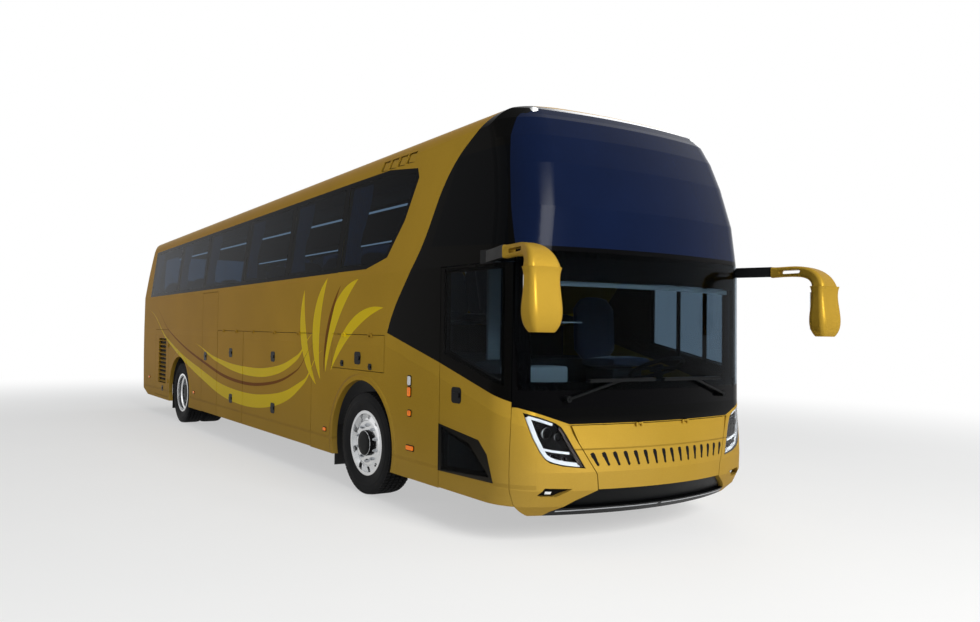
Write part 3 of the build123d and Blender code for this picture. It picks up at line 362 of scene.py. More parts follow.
def gold_paint(looks, livery=True):
    """Metallic gold body paint, warm where it faces the light and olive brown where not."""
    material, tree, place = blank_material("gold_paint" if livery else "gold_paint_plain")
    # flakes are 0.05 mm on the real paint, drawn at 4 mm so that they show at all
    flake = add(tree, NOISE, {"Vector": place, "Scale": 260.0, "Detail": 1.0})
    cloud = add(tree, NOISE, {"Vector": place, "Scale": 1.4, "Detail": 3.0})
    grain = add(tree, MAP_RANGE, [flake, 0.3, 0.7, 0.93, 1.07])
    tone = add(tree, MAP_RANGE, [cloud, 0.3, 0.7, 0.95, 1.05])
    tone = add(tree, MATH, [grain, tone], "MULTIPLY")
    colour = add(tree, VECTOR_MATH, {0: tuple(looks.gold[:3]), "Scale": tone}, "SCALE")
    rough = add(tree, MAP_RANGE, [flake, 0.3, 0.7, 0.32, 0.40])
    if not livery:
        shader = add(tree, PRINCIPLED, {
            "Base Color": colour, "Metallic": 0.35, "Roughness": rough,
            "Specular IOR Level": 0.04, "Specular Tint": linear("#C79A30"), "Coat Weight": 0.02,
            "Coat Roughness": 0.03})
        return close_material(material, shader)
    z, black, stripe, accent, crease = livery_masks(tree, place)
    mixed = colour.outputs[0]
    for mask, tint in ((stripe, looks.stripe), (accent, looks.accent), (black, looks.black)):
        mixed = add(tree, MIX, {0: mask, 6: mixed, 7: tuple(tint)}, data_type="RGBA").outputs[2]
    # road dust: a dull veil that thins out by 0.9 m
    veil = add(tree, MAP_RANGE, [z, 0.25, 0.95, 0.22, 0.0])
    veil = add(tree, MATH, [veil, cloud], "MULTIPLY")
    dusty = add(tree, MIX, {0: veil, 6: mixed, 7: linear("#8A8272")}, data_type="RGBA")
    # metal share: some in the gold, little in the stripes, none in the black, which is also the glossiest
    metal = add(tree, MATH, [stripe, -0.30, 0.35], "MULTIPLY_ADD")
    gold_share = add(tree, MATH, [1.0, black], "SUBTRACT")
    metal = add(tree, MATH, [metal, gold_share], "MULTIPLY")
    dull = add(tree, MATH, [gold_share, 0.70, 0.30], "MULTIPLY_ADD")
    dull = add(tree, MATH, [rough, dull, veil], "MULTIPLY_ADD")
    bump = add(tree, "ShaderNodeBump", {"Height": crease, "Distance": 1.0, "Strength": 1.0})
    shader = add(tree, PRINCIPLED, {
        "Base Color": dusty.outputs[2], "Metallic": metal, "Roughness": dull, "Specular IOR Level": 0.02,
        "Specular Tint": linear("#C79A30"), "Coat Weight": 0.02, "Coat Roughness": 0.03, "Normal": bump})
    return close_material(material, shader)


# Other finishes

def plain_finish(name, code, rough, metallic=0.0, grain=0.0, grain_mm=2.0, spread=0.06, specular=0.5,
                 **extra):
    """A one-colour finish whose tone, gloss and surface vary with a grain of a given size."""
    material, tree, place = blank_material(name)
    fine = add(tree, NOISE, {"Vector": place, "Scale": 1000.0 / grain_mm, "Detail": 2.0})
    wide = add(tree, NOISE, {"Vector": place, "Scale": 3.0, "Detail": 4.0})
    tone = add(tree, MAP_RANGE, [wide, 0.3, 0.7, 1 - spread, 1 + spread])
    colour = add(tree, VECTOR_MATH, {0: linear(code)[:3], "Scale": tone}, "SCALE")
    gloss = add(tree, MAP_RANGE, [wide, 0.3, 0.7, rough * 0.9, min(1.0, rough * 1.12)])
    bump = add(tree, "ShaderNodeBump", {"Height": fine, "Distance": grain / 1000.0, "Strength": 1.0})
    values = {"Base Color": colour, "Roughness": gloss, "Metallic": metallic, "Normal": bump,
              "Specular IOR Level": specular}
    values.update(extra)
    return close_material(material, add(tree, PRINCIPLED, values))


def pillar_enamel():
    """Gloss enamel of the front frame: black, and navy where it borders the dome."""
    material, tree, place = blank_material("two_tone_gloss_enamel")
    axes = add(tree, "ShaderNodeSeparateXYZ", [place])
    lean = add(tree, MATH, [axes.outputs["Z"], 0.158, axes.outputs["X"]], "MULTIPLY_ADD")
    ahead = add(tree, MATH, [lean, AXLE + 2.458], "GREATER_THAN")
    above = add(tree, MATH, [axes.outputs["Z"], 2.19], "GREATER_THAN")
    navy = add(tree, MATH, [ahead, above], "MULTIPLY")
    tone = add(tree, MIX, {0: navy, 6: linear("#030304"), 7: linear("#040F28")}, data_type="RGBA")
    wave = add(tree, NOISE, {"Vector": place, "Scale": 40.0})
    peel = add(tree, "ShaderNodeBump", {"Height": wave, "Distance": 0.00003, "Strength": 1.0})
    return close_material(material, add(tree, PRINCIPLED, {
        "Base Color": tone.outputs[2], "Roughness": 0.15, "Specular IOR Level": 0.03, "Normal": peel}))


def tinted_glass(looks, banded):
    """Toughened glass, clear in the cab and dark blue behind it; side panes have a black ceramic band."""
    material, tree, place = blank_material("banded_tinted_glass" if banded else "clear_cab_glass")
    clear_tint = linear("#8494A0")
    # roller waves of toughened glass, about 1 mm over a metre
    ripple = add(tree, NOISE, {"Vector": place, "Scale": 1.1, "Detail": 0.0})
    bump = add(tree, "ShaderNodeBump", {"Height": ripple, "Distance": 0.0012, "Strength": 1.0})
    # the index is lowered from 1.52 to match the photograph, whose glass mirrors a dark scene
    values = {"Base Color": clear_tint, "Roughness": 0.01, "IOR": 1.08, "Specular IOR Level": 0.5,
              "Transmission Weight": 1.0, "Normal": bump}
    if banded:
        axes, x, flat = side_axes(tree, place)
        deepest = None
        for outline in PANE_OUTLINES:
            depth = depth_inside(tree, flat, outline)
            deepest = depth if deepest is None else add(
                tree, MATH, [deepest, depth], "MAXIMUM")
        clear = add(tree, MATH, [deepest, PANE_BAND], "GREATER_THAN")
        # ahead of the cab pillar the upper pane is printed black and the lower one is clear
        ahead = add(tree, MATH, [x, 0.95], "GREATER_THAN")
        upper = add(tree, MATH, [axes.outputs["Z"], 2.14], "GREATER_THAN")
        printed = add(tree, MATH, [ahead, upper], "MULTIPLY")
        printed = add(tree, MATH, [1.0, printed], "SUBTRACT")
        clear = add(tree, MATH, [clear, printed], "MULTIPLY")
        tint = add(tree, MIX, {0: ahead, 6: tuple(looks.glass), 7: clear_tint}, data_type="RGBA")
        tint = add(tree, MIX, {0: clear, 6: linear("#040507"), 7: tint.outputs[2]}, data_type="RGBA")
        values.update({"Base Color": tint.outputs[2], "Transmission Weight": clear})
    return close_material(material, add(tree, PRINCIPLED, values))


def woven(name, code, second, thread_mm, sheen):
    """Woven cloth: two sets of threads that cross, drawn coarse enough to show, with a soft sheen."""
    material, tree, place = blank_material(name)
    waves = []
    for direction in ("X", "Z"):
        waves.append(add(tree, "ShaderNodeTexWave",
                         {"Vector": place, "Scale": 1000.0 / (thread_mm * 2 * math.pi)},
                         bands_direction=direction))
    cross = add(tree, MATH, [waves[0].outputs["Fac"], waves[1].outputs["Fac"]], "MULTIPLY")
    patchy = add(tree, NOISE, {"Vector": place, "Scale": 14.0, "Detail": 3.0})
    blend = add(tree, MIX, {0: patchy, 6: linear(code), 7: linear(second)}, data_type="RGBA")
    bump = add(tree, "ShaderNodeBump", {"Height": cross, "Distance": 0.0006, "Strength": 0.8})
    shader = add(tree, PRINCIPLED, {
        "Base Color": blend.outputs[2], "Roughness": 0.85, "Sheen Weight": sheen, "Sheen Roughness": 0.5,
        "Normal": bump})
    return close_material(material, shader)


def pale_floor():
    """Sealed pale screed: shows the shadow and fades to the backdrop's white away from the coach."""
    material, tree, place = blank_material("pale_sealed_screed")
    cloud = add(tree, NOISE, {"Vector": place, "Scale": 0.6, "Detail": 3.0})
    colour = add(tree, MIX, {0: cloud, 6: linear("#E9E8E5"), 7: linear("#E3E2DF")}, data_type="RGBA")
    matt = add(tree, PRINCIPLED, {"Base Color": colour.outputs[2], "Roughness": 0.85,
                                                  "Specular IOR Level": 0.2})
    white = add(tree, "ShaderNodeEmission", {"Color": (1, 1, 1, 1), "Strength": 1.0})
    seen = seen_directly(tree)
    reach = add(tree, VECTOR_MATH, [place], "LENGTH")
    fade = add(tree, MAP_RANGE, [reach.outputs["Value"], 6.0, 15.0, 0.50, 1.0],
               interpolation_type="SMOOTHSTEP")
    share = add(tree, MATH, [fade, seen], "MULTIPLY")
    mixed = add(tree, "ShaderNodeMixShader", [share, matt, white])
    return close_material(material, mixed)


def make_finishes(looks):
    """Every finish of the coach, by name."""
    return {
        "gold": gold_paint(looks),
        "gold_plain": gold_paint(looks, livery=False),
        # gloss black enamel: near black, its mirroring lowered to match the photograph
        "black": plain_finish("gloss_black_enamel", "#030304", 0.14, grain=0.02, grain_mm=6.0, specular=0.02),
        "frame": pillar_enamel(),
        "glass": tinted_glass(looks, banded=False),
        "pane": tinted_glass(looks, banded=True),
        # glass of the dome: deep navy, printed from behind, so it hides the cabin; it mirrors little
        "dome": plain_finish("navy_printed_glass", "#040F28", 0.17, grain=0.0, grain_mm=40.0, specular=0.05),
        # tyre rubber: charcoal, dull, dusty in patches
        "rubber": plain_finish("tyre_rubber", "#151516", 0.86, grain=0.4, grain_mm=3.0, spread=0.16,
                               specular=0.2),
        # polished forged alloy: bright, with faint machining
        "alloy": plain_finish("polished_alloy", "#D9DADB", 0.17, metallic=1.0, grain=0.05, grain_mm=1.5),
        "steel": plain_finish("zinc_plated_steel", "#B9BCC0", 0.30, metallic=1.0, grain=0.05, grain_mm=1.0),
        "chassis": plain_finish("black_chassis_enamel", "#191A1C", 0.55, grain=0.3, grain_mm=3.0,
                                spread=0.12),
        "iron": plain_finish("cast_iron", "#2C2B2A", 0.68, metallic=0.5, grain=0.8, grain_mm=2.0,
                             spread=0.15),
        # moulded cabin plastic: warm grey, finely grained
        "cabin": plain_finish("moulded_abs", "#3A3A3B", 0.55, grain=0.15, grain_mm=1.2),
        "plastic": plain_finish("black_moulded_plastic", "#0A0B0C", 0.40, grain=0.1, grain_mm=1.0,
                                specular=0.08),
        "seal": plain_finish("black_epdm_rubber", "#0C0C0D", 0.65, grain=0.1, grain_mm=2.0),
        "lens": plain_finish("clear_polycarbonate", "#F4F6F8", 0.02, grain=0.0, grain_mm=30.0, spread=0.0, **{
            "Transmission Weight": 1.0, "IOR": 1.12}),
        # LED light guide: milky white, with a faint glow that is painted light, keeping it white in the
        # lamp's shade
        "guide": plain_finish("opal_light_guide_painted_glow", "#D4D9DD", 0.3, spread=0.02, **{
            "Emission Color": linear("#FFFFFF"), "Emission Strength": 0.06}),
        "chrome": plain_finish("aluminised_reflector", "#E6E8EA", 0.08, metallic=1.0, grain=0.0,
                               grain_mm=20.0),
        "smoke": plain_finish("smoked_lamp_housing", "#2A2019", 0.22, grain=0.05, grain_mm=3.0),
        "amber": plain_finish("amber_acrylic", "#F07A08", 0.12, grain=0.1, grain_mm=3.0, specular=0.2, **{
            "Emission Color": linear("#FF7A00"), "Emission Strength": 0.25}),
        "red": plain_finish("red_acrylic", "#A80A0C", 0.12, grain=0.1, grain_mm=3.0,
                            **{"Transmission Weight": 0.3}),
        "liner": plain_finish("needled_felt_liner", "#55565A", 0.9, grain=0.3, grain_mm=3.0),
        "white": plain_finish("white_acrylic", "#E9EAE8", 0.2, grain=0.1, grain_mm=3.0),
        "mirror": plain_finish("silvered_mirror_glass", "#E8ECEE", 0.01, metallic=1.0, grain=0.0,
                               grain_mm=40.0),
        "curtain": woven("pleated_polyester", "#F0F2F3", "#DDE2E6", 4.0, 0.3),
        "seat": woven("seat_moquette", "#39465C", "#2C3648", 5.0, 0.5),
        # cabin lighting: opal strips under the racks, lit
        "strip": plain_finish("lit_opal_strip", "#F6F4EE", 0.4, spread=0.0, **{
            "Emission Color": linear("#FFF6E8"), "Emission Strength": 2.0}),
        "pale": plain_finish("pale_moulded_abs", "#C4C5C2", 0.45, grain=0.1, grain_mm=1.2),
        "matt": plain_finish("matt_black_enamel", "#060607", 0.7, grain=0.1, grain_mm=2.0, specular=0.1),
    }


FINISH = {}
NODE_FINISH = {
    "frame": ("front_frame",), "glass": ("windscreen", "rear_window", "door_front_glass"),
    "pane": ("side_windows",),
    "dome": ("dome_glass",), "gold_plain": ("mirrors",),
    "plastic": ("wipers", "mirror_brackets", "front_grille"),
    "cabin": ("deck", "stairs", "luggage_bay", "dashboard", "luggage_racks"), "seal": ("steering_wheel",),
    "chassis": ("chassis_frame", "wheel_boxes", "door_front_arm", "door_mid_arm"),
    "iron": ("front_axle", "rear_axle", "knuckle_right", "knuckle_left", "engine"),
    "alloy": ("rim_front_right", "rim_front_left", "rim_rear_right", "rim_rear_left"),
    "rubber": ("tyre_front_right", "tyre_front_left", "tyre_rear_right", "tyre_rear_left"),
    "lens": ("lamps",), "seat": ("seats",), "gold": PAINTED,
}


# Mesh helpers

def mesh_of(bm):
    """A mesh from a bmesh."""
    mesh = bpy.data.meshes.new("mesh")
    bm.normal_update()
    bm.to_mesh(mesh)
    bm.free()
    return mesh


def piece(name, mesh, finish, body="coach", smooth=None):
    """Makes a mesh a finished piece that rides on a body."""
    obj = bpy.data.objects.new(name, mesh)
    bpy.context.scene.collection.objects.link(obj)
    mesh.materials.clear()
    mesh.materials.append(FINISH[finish])
    if smooth is not None:
        mesh.shade_smooth()
        mesh.set_sharp_from_angle(angle=math.radians(smooth))
    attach(obj, body)
    return obj


def joined(meshes):
    """One bmesh of several meshes."""
    bm = bmesh.new()
    for mesh in meshes:
        bm.from_mesh(mesh)
    return bm


def add_box(bm, low, high, bevel=0.0, segments=2):
    """Adds a box with rounded edges, X measured from the front axle."""
    made = bmesh.ops.create_cube(bm, size=1.0)["verts"]
    for vert in made:
        vert.co = Vector([(low[i] + high[i]) / 2 + vert.co[i] * (high[i] - low[i]) for i in range(3)])
        vert.co.x += AXLE
    if bevel:
        edges = list({edge for vert in made for edge in vert.link_edges})
        bmesh.ops.bevel(bm, geom=edges, offset=bevel, segments=segments, profile=0.5, affect="EDGES")


def add_lathe(bm, rows, centre, axis="Y", steps=48, sign=1.0):
    """Spins rows of (along, radius) about an axis through a centre; the profile runs closed."""
    rings = []
    for along, radius in rows:
        ring = []
        for step in range(steps):
            angle = math.tau * step / steps
            a, b = radius * math.cos(angle), radius * math.sin(angle)
            offset = (a, along * sign, b) if axis == "Y" else (along * sign, a, b)
            ring.append(bm.verts.new(Vector(centre) + Vector(offset)) if radius > 1e-6 else None)
        if radius <= 1e-6:
            offset = (0, along * sign, 0) if axis == "Y" else (along * sign, 0, 0)
            ring = [bm.verts.new(Vector(centre) + Vector(offset))]
        rings.append(ring)
    closed = len(rings[0]) > 1 and len(rings[-1]) > 1
    for low, high in zip(rings, rings[1:] + (rings[:1] if closed else [])):
        for step in range(steps):
            after = (step + 1) % steps
            if len(low) == 1 and len(high) == 1:
                continue
            if len(low) == 1:
                bm.faces.new((low[0], high[after], high[step]))
            elif len(high) == 1:
                bm.faces.new((low[step], low[after], high[0]))
            else:
                bm.faces.new((low[step], low[after], high[after], high[step]))
    bmesh.ops.recalc_face_normals(bm, faces=bm.faces[:])


def skin_tree(names):
    """A ray-casting tree over CAD nodes."""
    points, faces = [], []
    for name in names:
        mesh = NODES[name].data
        first = len(points)
        points += [vert.co.copy() for vert in mesh.vertices]
        faces += [[first + index for index in poly.vertices] for poly in mesh.polygons]
    return BVHTree.FromPolygons(points, faces)


FACING = {"front": Vector((-1, 0, 0)), "rear": Vector((1, 0, 0)), "right": Vector((0, 1, 0)),
          "left": Vector((0, -1, 0))}


def skin_point(tree, facing, u, v):
    """Where a look from outside at (u, v) meets the skin; in a shut line, level with the panel beside."""
    inward = FACING[facing]
    for aside in (0.0, 0.012, -0.012, 0.03, -0.03):
        start = Vector((AXLE + u, 0, v)) if facing in ("right", "left") else Vector((0, u, v))
        beside = Vector((aside, 0, 0)) if facing in ("right", "left") else Vector((0, aside, 0))
        hit = tree.ray_cast(start + beside - inward * FAR, inward)[0]
        if hit is not None:
            return hit - beside
    raise RuntimeError("no skin at %s %.3f %.3f" % (facing, u, v))


def add_patch(bm, tree, facing, outline, inset, thickness, cuts=2):
    """Adds a closed plate that follows the skin inside an outline, its face inset by a depth."""
    inward = FACING[facing]
    part = bmesh.new()
    cells = outline if isinstance(outline[0][0], tuple) else [outline]
    for cell in cells:
        places = [(u, 0, v) if facing in ("right", "left") else (0, u, v) for u, v in cell]
        part.faces.new([part.verts.new(place) for place in places])
    bmesh.ops.remove_doubles(part, verts=part.verts[:], dist=1e-5)
    bmesh.ops.triangulate(part, faces=part.faces[:])
    for _ in range(cuts):
        longest = [edge for edge in part.edges if edge.calc_length() > 0.02]
        if longest:
            bmesh.ops.subdivide_edges(part, edges=longest, cuts=1)
            bmesh.ops.triangulate(part, faces=part.faces[:])
    for vert in part.verts:
        u, v = (vert.co.x if facing in ("right", "left") else vert.co.y), vert.co.z
        vert.co = skin_point(tree, facing, u, v) + inward * inset
    fronts = part.faces[:]
    part.normal_update()
    if sum((face.normal.dot(inward) for face in fronts)) > 0:
        bmesh.ops.reverse_faces(part, faces=fronts)
    made = bmesh.ops.extrude_face_region(part, geom=fronts, use_keep_orig=True)["geom"]
    backs = [item for item in made if isinstance(item, bmesh.types.BMFace)]
    for vert in {vert for face in backs for vert in face.verts}:
        vert.co += inward * thickness
    bmesh.ops.recalc_face_normals(part, faces=part.faces[:])
    mesh = mesh_of(part)
    bm.from_mesh(mesh)
    bpy.data.meshes.remove(mesh)


def ribbon(points, width):
    """A band of one width along a line, as its four-sided cells."""
    left, right = [], []
    for index, point in enumerate(points):
        before = Vector(points[max(index - 1, 0)])
        after = Vector(points[min(index + 1, len(points) - 1)])
        way = (after - before).normalized()
        normal = Vector((-way.y, way.x)) * width / 2
        left.append(tuple(Vector(point) + normal))
        right.append(tuple(Vector(point) - normal))
    return [(left[i], left[i + 1], right[i + 1], right[i]) for i in range(len(points) - 1)]


def rounded(u, v, width, height, corner, steps=4):
    """A rounded rectangle's outline about (u, v)."""
    points = []
    for cu, cv, start in ((1, 1, 0), (-1, 1, 90), (-1, -1, 180), (1, -1, 270)):
        for step in range(steps + 1):
            angle = math.radians(start + 90 * step / steps)
            points.append((u + cu * (width / 2 - corner) + corner * math.cos(angle),
                           v + cv * (height / 2 - corner) + corner * math.sin(angle)))
    return points


def handed(outline, side):
    """An outline of the |Y| half, set on one side."""
    return [(side * y, z) for y, z in outline]


# Repeated parts

def copies_tree(finish, ring):
    """Geometry Nodes: copies of the given part, turned about a wheel's axle or set in a straight row."""
    tree = bpy.data.node_groups.new("parts_in_a_ring" if ring else "parts_in_a_row", "GeometryNodeTree")
    for name, way, kind in (("Part", "INPUT", "Geometry"), ("Count", "INPUT", "Int"),
                            ("Centre" if ring else "Pitch", "INPUT", "Vector"),
                            ("Part", "OUTPUT", "Geometry")):
        tree.interface.new_socket(name, in_out=way, socket_type="NodeSocket" + kind)
    given = add(tree, "NodeGroupInput")
    count = given.outputs["Count"]
    pitch = (0.0, 0.0, 0.0) if ring else given.outputs["Pitch"]
    points = add(tree, "GeometryNodeMeshLine", {"Count": count, "Offset": pitch})
    spread = {"Points": points, "Instance": given.outputs["Part"]}
    if ring:
        index = add(tree, "GeometryNodeInputIndex")
        step = add(tree, MATH, [math.tau, count], "DIVIDE")
        turn = add(tree, MATH, [index, step], "MULTIPLY")
        spread["Rotation"] = add(tree, "ShaderNodeCombineXYZ", {"Y": turn})
    copies = add(tree, "GeometryNodeInstanceOnPoints", spread)
    if ring:
        copies = add(tree, "GeometryNodeTransform",
                     {"Geometry": copies, "Translation": given.outputs["Centre"]})
    real = add(tree, "GeometryNodeRealizeInstances", {"Geometry": copies})
    painted = add(tree, "GeometryNodeSetMaterial", {"Geometry": real, "Material": finish})
    add(tree, "NodeGroupOutput", {"Part": painted})
    return tree


def repeated(mesh, tree, **values):
    """Runs a part through a Geometry Nodes tree and returns the plain mesh."""
    obj = bpy.data.objects.new("source", mesh)
    bpy.context.scene.collection.objects.link(obj)
    modifier = obj.modifiers.new("repeat", "NODES")
    modifier.node_group = tree
    for item in tree.interface.items_tree:
        if item.item_type == "SOCKET" and item.in_out == "INPUT" and item.name in values:
            modifier[item.identifier] = values[item.name]
    bpy.context.view_layer.update()
    graph = bpy.context.evaluated_depsgraph_get()
    result = bpy.data.meshes.new_from_object(obj.evaluated_get(graph))
    bpy.data.objects.remove(obj)
    return result


# Wheels

def tyre_profile():
    """Half of a road tyre's section, outboard: bead, bulged wall with its rings, shoulder and tread."""
    wall = [(0.100, 0.288), (0.112, 0.296), (0.122, 0.316), (0.1285, 0.338), (0.1290, 0.342), (0.1315, 0.346),
            (0.1340, 0.372), (0.1355, 0.396), (0.1330, 0.400), (0.1325, 0.420), (0.1305, 0.440),
            (0.1285, 0.444),
            (0.1250, 0.457), (0.1200, 0.465)]
    tread = [(0.112, 0.468)]
    for middle in (0.078, 0.026):
        tread += [(middle + 0.006, 0.4695), (middle + 0.004, 0.459), (middle - 0.004, 0.459),
                  (middle - 0.006, 0.4695)]
    return wall + tread


def tyre_mesh(looks, x, ys):
    """The carcasses of one body's tyres and their tread blocks."""
    half = tyre_profile()
    rows = half + [(-y, radius) for y, radius in reversed(half)]
    bm = bmesh.new()
    for y in ys:
        add_lathe(bm, rows, (AXLE + x, y, WHEEL_Z), steps=96)
    meshes = [mesh_of(bm)]
    block = bmesh.new()
    top = looks.tyre_radius
    for y_low, y_high, skew in ((-0.1255, -0.086, 0.006), (-0.070, -0.034, 0.010), (-0.018, 0.018, 0.0),
                                (0.034, 0.070, -0.010), (0.086, 0.1255, -0.006)):
        corners = []
        for radius, grow in ((0.466, 1.06), (top, 0.94)):
            for y, shift in ((y_low, skew), (y_high, -skew)):
                edge = radius if abs(y) < 0.12 else radius - 0.006
                middle = (y_low + y_high) / 2
                corners += [block.verts.new((sx * 0.0165 * grow + shift, middle + (y - middle) * (2 - grow),
                                             edge))
                            for sx in (-1, 1)]
        a, b, c, d, e, f, g, h = corners
        for face in ((a, b, d, c), (e, g, h, f), (a, e, f, b), (c, d, h, g), (a, c, g, e), (b, f, h, d)):
            block.faces.new(face)
    bmesh.ops.recalc_face_normals(block, faces=block.faces[:])
    source = mesh_of(block)
    tree = copies_tree(FINISH["rubber"], ring=True)
    for y in ys:
        meshes.append(repeated(source, tree, Count=looks.tread_count, Centre=(AXLE + x, y, WHEEL_Z)))
    return mesh_of(joined(meshes))


def nut_mesh(tree, x, y_face, ring, count, outward):
    """Hexagonal nuts with their studs round a wheel."""
    nut = bmesh.new()
    for radius, low, high, sides in ((0.0175, -0.004, 0.018, 6), (0.0095, 0.010, 0.030, 10)):
        made = bmesh.ops.create_cone(nut, cap_ends=True, segments=sides, radius1=radius, radius2=radius * 0.9,
                                     depth=high - low)["verts"]
        turn = Matrix.Rotation(math.radians(-90 * outward), 4, "X")
        for vert in made:
            vert.co = turn @ (vert.co + Vector((0, 0, (low + high) / 2))) + Vector((0, 0, ring))
    return repeated(mesh_of(nut), tree, Count=count, Centre=(AXLE + x, y_face, WHEEL_Z))


# Lamps

def add_projector(lens, bezel, tree, u, v, radius):
    """Adds a projector behind the front skin: a domed lens to one mesh, its bright ring to the other."""
    ball = radius * 0.86
    dome = [(0.012 + ball * 0.32 * math.cos(a), ball * math.sin(a)) for a in (0.0, 0.35, 0.7, 1.05, 1.4)]
    ring = [(-0.004, radius), (0.012, radius), (0.016, radius * 0.95), (0.010, radius * 0.88),
            (-0.004, radius * 0.88)]
    for bm, rows, inset in ((lens, dome + [(-0.006, ball), (-0.006, 0.0)], 0.034), (bezel, ring, 0.036)):
        centre = skin_point(tree, "front", u, v) + FACING["front"] * inset
        add_lathe(bm, rows, centre, axis="X", steps=24)


# Cabin

def add_cushion(bm, size, place, lean=0.0, channels=0):
    """Adds one stuffed block: crowned faces, drawn-in corners and sewn channels along its length."""
    part = bmesh.new()
    bmesh.ops.create_cube(part, size=2.0)
    bmesh.ops.subdivide_edges(part, edges=part.edges[:], cuts=5, use_grid_fill=True)
    turn = Matrix.Rotation(lean, 3, "Y")
    for vert in part.verts:
        a, b, c = vert.co
        pinch = 1 - 0.10 * (b ** 4) * (c ** 2) - 0.05 * abs(a) ** 4
        crown = (1 - 0.34 * a ** 4) * (1 - 0.34 * b ** 4)
        groove = 1.0
        if channels and abs(b) < 0.8:
            groove = 1 - 0.10 * (0.5 + 0.5 * math.cos(math.pi * channels * b))
        offset = Vector((a * size[0] / 2 * pinch, b * size[1] / 2 * (1 - 0.06 * a ** 4),
                         c * size[2] / 2 * crown * groove))
        vert.co = turn @ offset + Vector(place) + Vector((AXLE, 0, 0))
    mesh = mesh_of(part)
    bm.from_mesh(mesh)
    bpy.data.meshes.remove(mesh)


def seat_pair(x, y, floor_z, width, soft, hard):
    """Adds one pair of seats: cushions and backs to one mesh, plinth to the other."""
    for side in (-1, 1):
        middle = y + side * width / 4
        add_cushion(soft, (0.44, width / 2 - 0.02, 0.12), (x - 0.165, middle, floor_z + 0.375), lean=-0.07,
                    channels=3)
        add_cushion(soft, (0.09, width / 2 - 0.03, 0.66), (x - 0.525, middle, floor_z + 0.69), lean=-0.24,
                    channels=0)
    add_box(hard, (x - 0.33, y - width / 2 + 0.12, floor_z + 0.002),
            (x - 0.02, y + width / 2 - 0.12, floor_z + 0.315), 0.01)


def curtain_row(length, wanted, pleats, phase):
    """Offsets of a pleated edge whose cloth is as long as wanted, found by the depth of its folds."""
    steps = pleats * 8
    low, high = 0.0, 0.05
    for _ in range(24):
        depth = (low + high) / 2
        points = [Vector((length * i / steps, depth * math.sin(math.tau * pleats * i / steps + phase)))
                  for i in range(steps + 1)]
        run = sum((points[i + 1] - points[i]).length for i in range(steps))
        low, high = (depth, high) if run < wanted else (low, depth)
    return points


def curtain_mesh(tree, facing, rear, low, head, tie):
    """One tied-back curtain behind a pane, pleated from its rail to its hem."""
    wanted, pleats, rows = 0.52, 7, 22
    bm = bmesh.new()
    grid = []
    for row in range(rows + 1):
        z = head + (low - head) * row / rows
        near = math.exp(-((z - tie) / 0.16) ** 2)
        length = 0.40 - 0.10 * near - 0.02 * row / rows
        points = curtain_row(length, wanted, pleats, 0.4 * math.sin(row * 0.5))
        line = []
        for along, depth in points:
            hit = skin_point(tree, facing, rear + along, z)
            line.append(bm.verts.new(hit + FACING[facing] * (0.037 + max(-0.0195, min(0.0195, depth)))))
        grid.append(line)
    for row in range(rows):
        for i in range(len(grid[0]) - 1):
            bm.faces.new((grid[row][i], grid[row][i + 1], grid[row + 1][i + 1], grid[row + 1][i]))
    return mesh_of(bm)


# Settings and operators

class CoachLooks(bpy.types.PropertyGroup):
    """Sizes and colours that a user would change."""

    gold: FloatVectorProperty(name="Gold", description="Colour of the body paint", subtype="COLOR", size=4,
                              min=0.0, max=1.0, default=linear("#A0802C"))
    stripe: FloatVectorProperty(name="Stripe", description="Colour of the flowing stripes", subtype="COLOR",
                                size=4,
                                min=0.0, max=1.0, default=linear("#E6C61C"))
    accent: FloatVectorProperty(name="Accent", description="Colour of the thin dark lines", subtype="COLOR",
                                size=4,
                                min=0.0, max=1.0, default=linear("#6B4300"))
    black: FloatVectorProperty(name="Black", description="Colour of the front's black sweep", subtype="COLOR",
                               size=4,
                               min=0.0, max=1.0, default=linear("#050607"))
    glass: FloatVectorProperty(name="Glass", description="Tint of the windows", subtype="COLOR", size=4,
                               min=0.0, max=1.0, default=linear("#36495F"))
    tyre_radius: FloatProperty(name="Tyre radius", description="Outer radius over the tread",
                               subtype="DISTANCE",
                               unit="LENGTH", default=0.4775, min=0.3, max=0.6)
    tread_count: IntProperty(name="Tread blocks", description="Blocks round one tyre", default=72, min=12,
                             max=120)
    nut_ring: FloatProperty(name="Nut ring", description="Radius of the ring of wheel nuts",
                            subtype="DISTANCE",
                            unit="LENGTH", default=0.1675, min=0.1, max=0.25)
    floor_width: FloatProperty(name="Floor", description="Width of the studio floor", subtype="DISTANCE",
                               unit="LENGTH", default=160.0, min=20.0, max=400.0)


class COACH_OT_finishes(bpy.types.Operator):
    """Makes every finish and gives it to the fixed parts"""
    bl_idname = "coach.finishes"
    bl_label = "Finishes"

    def execute(self, context):
        FINISH.update(make_finishes(context.scene.coach_looks))
        for finish, names in NODE_FINISH.items():
            for name in names:
                NODES[name].data.materials.clear()
                NODES[name].data.materials.append(FINISH[finish])
        return {"FINISHED"}


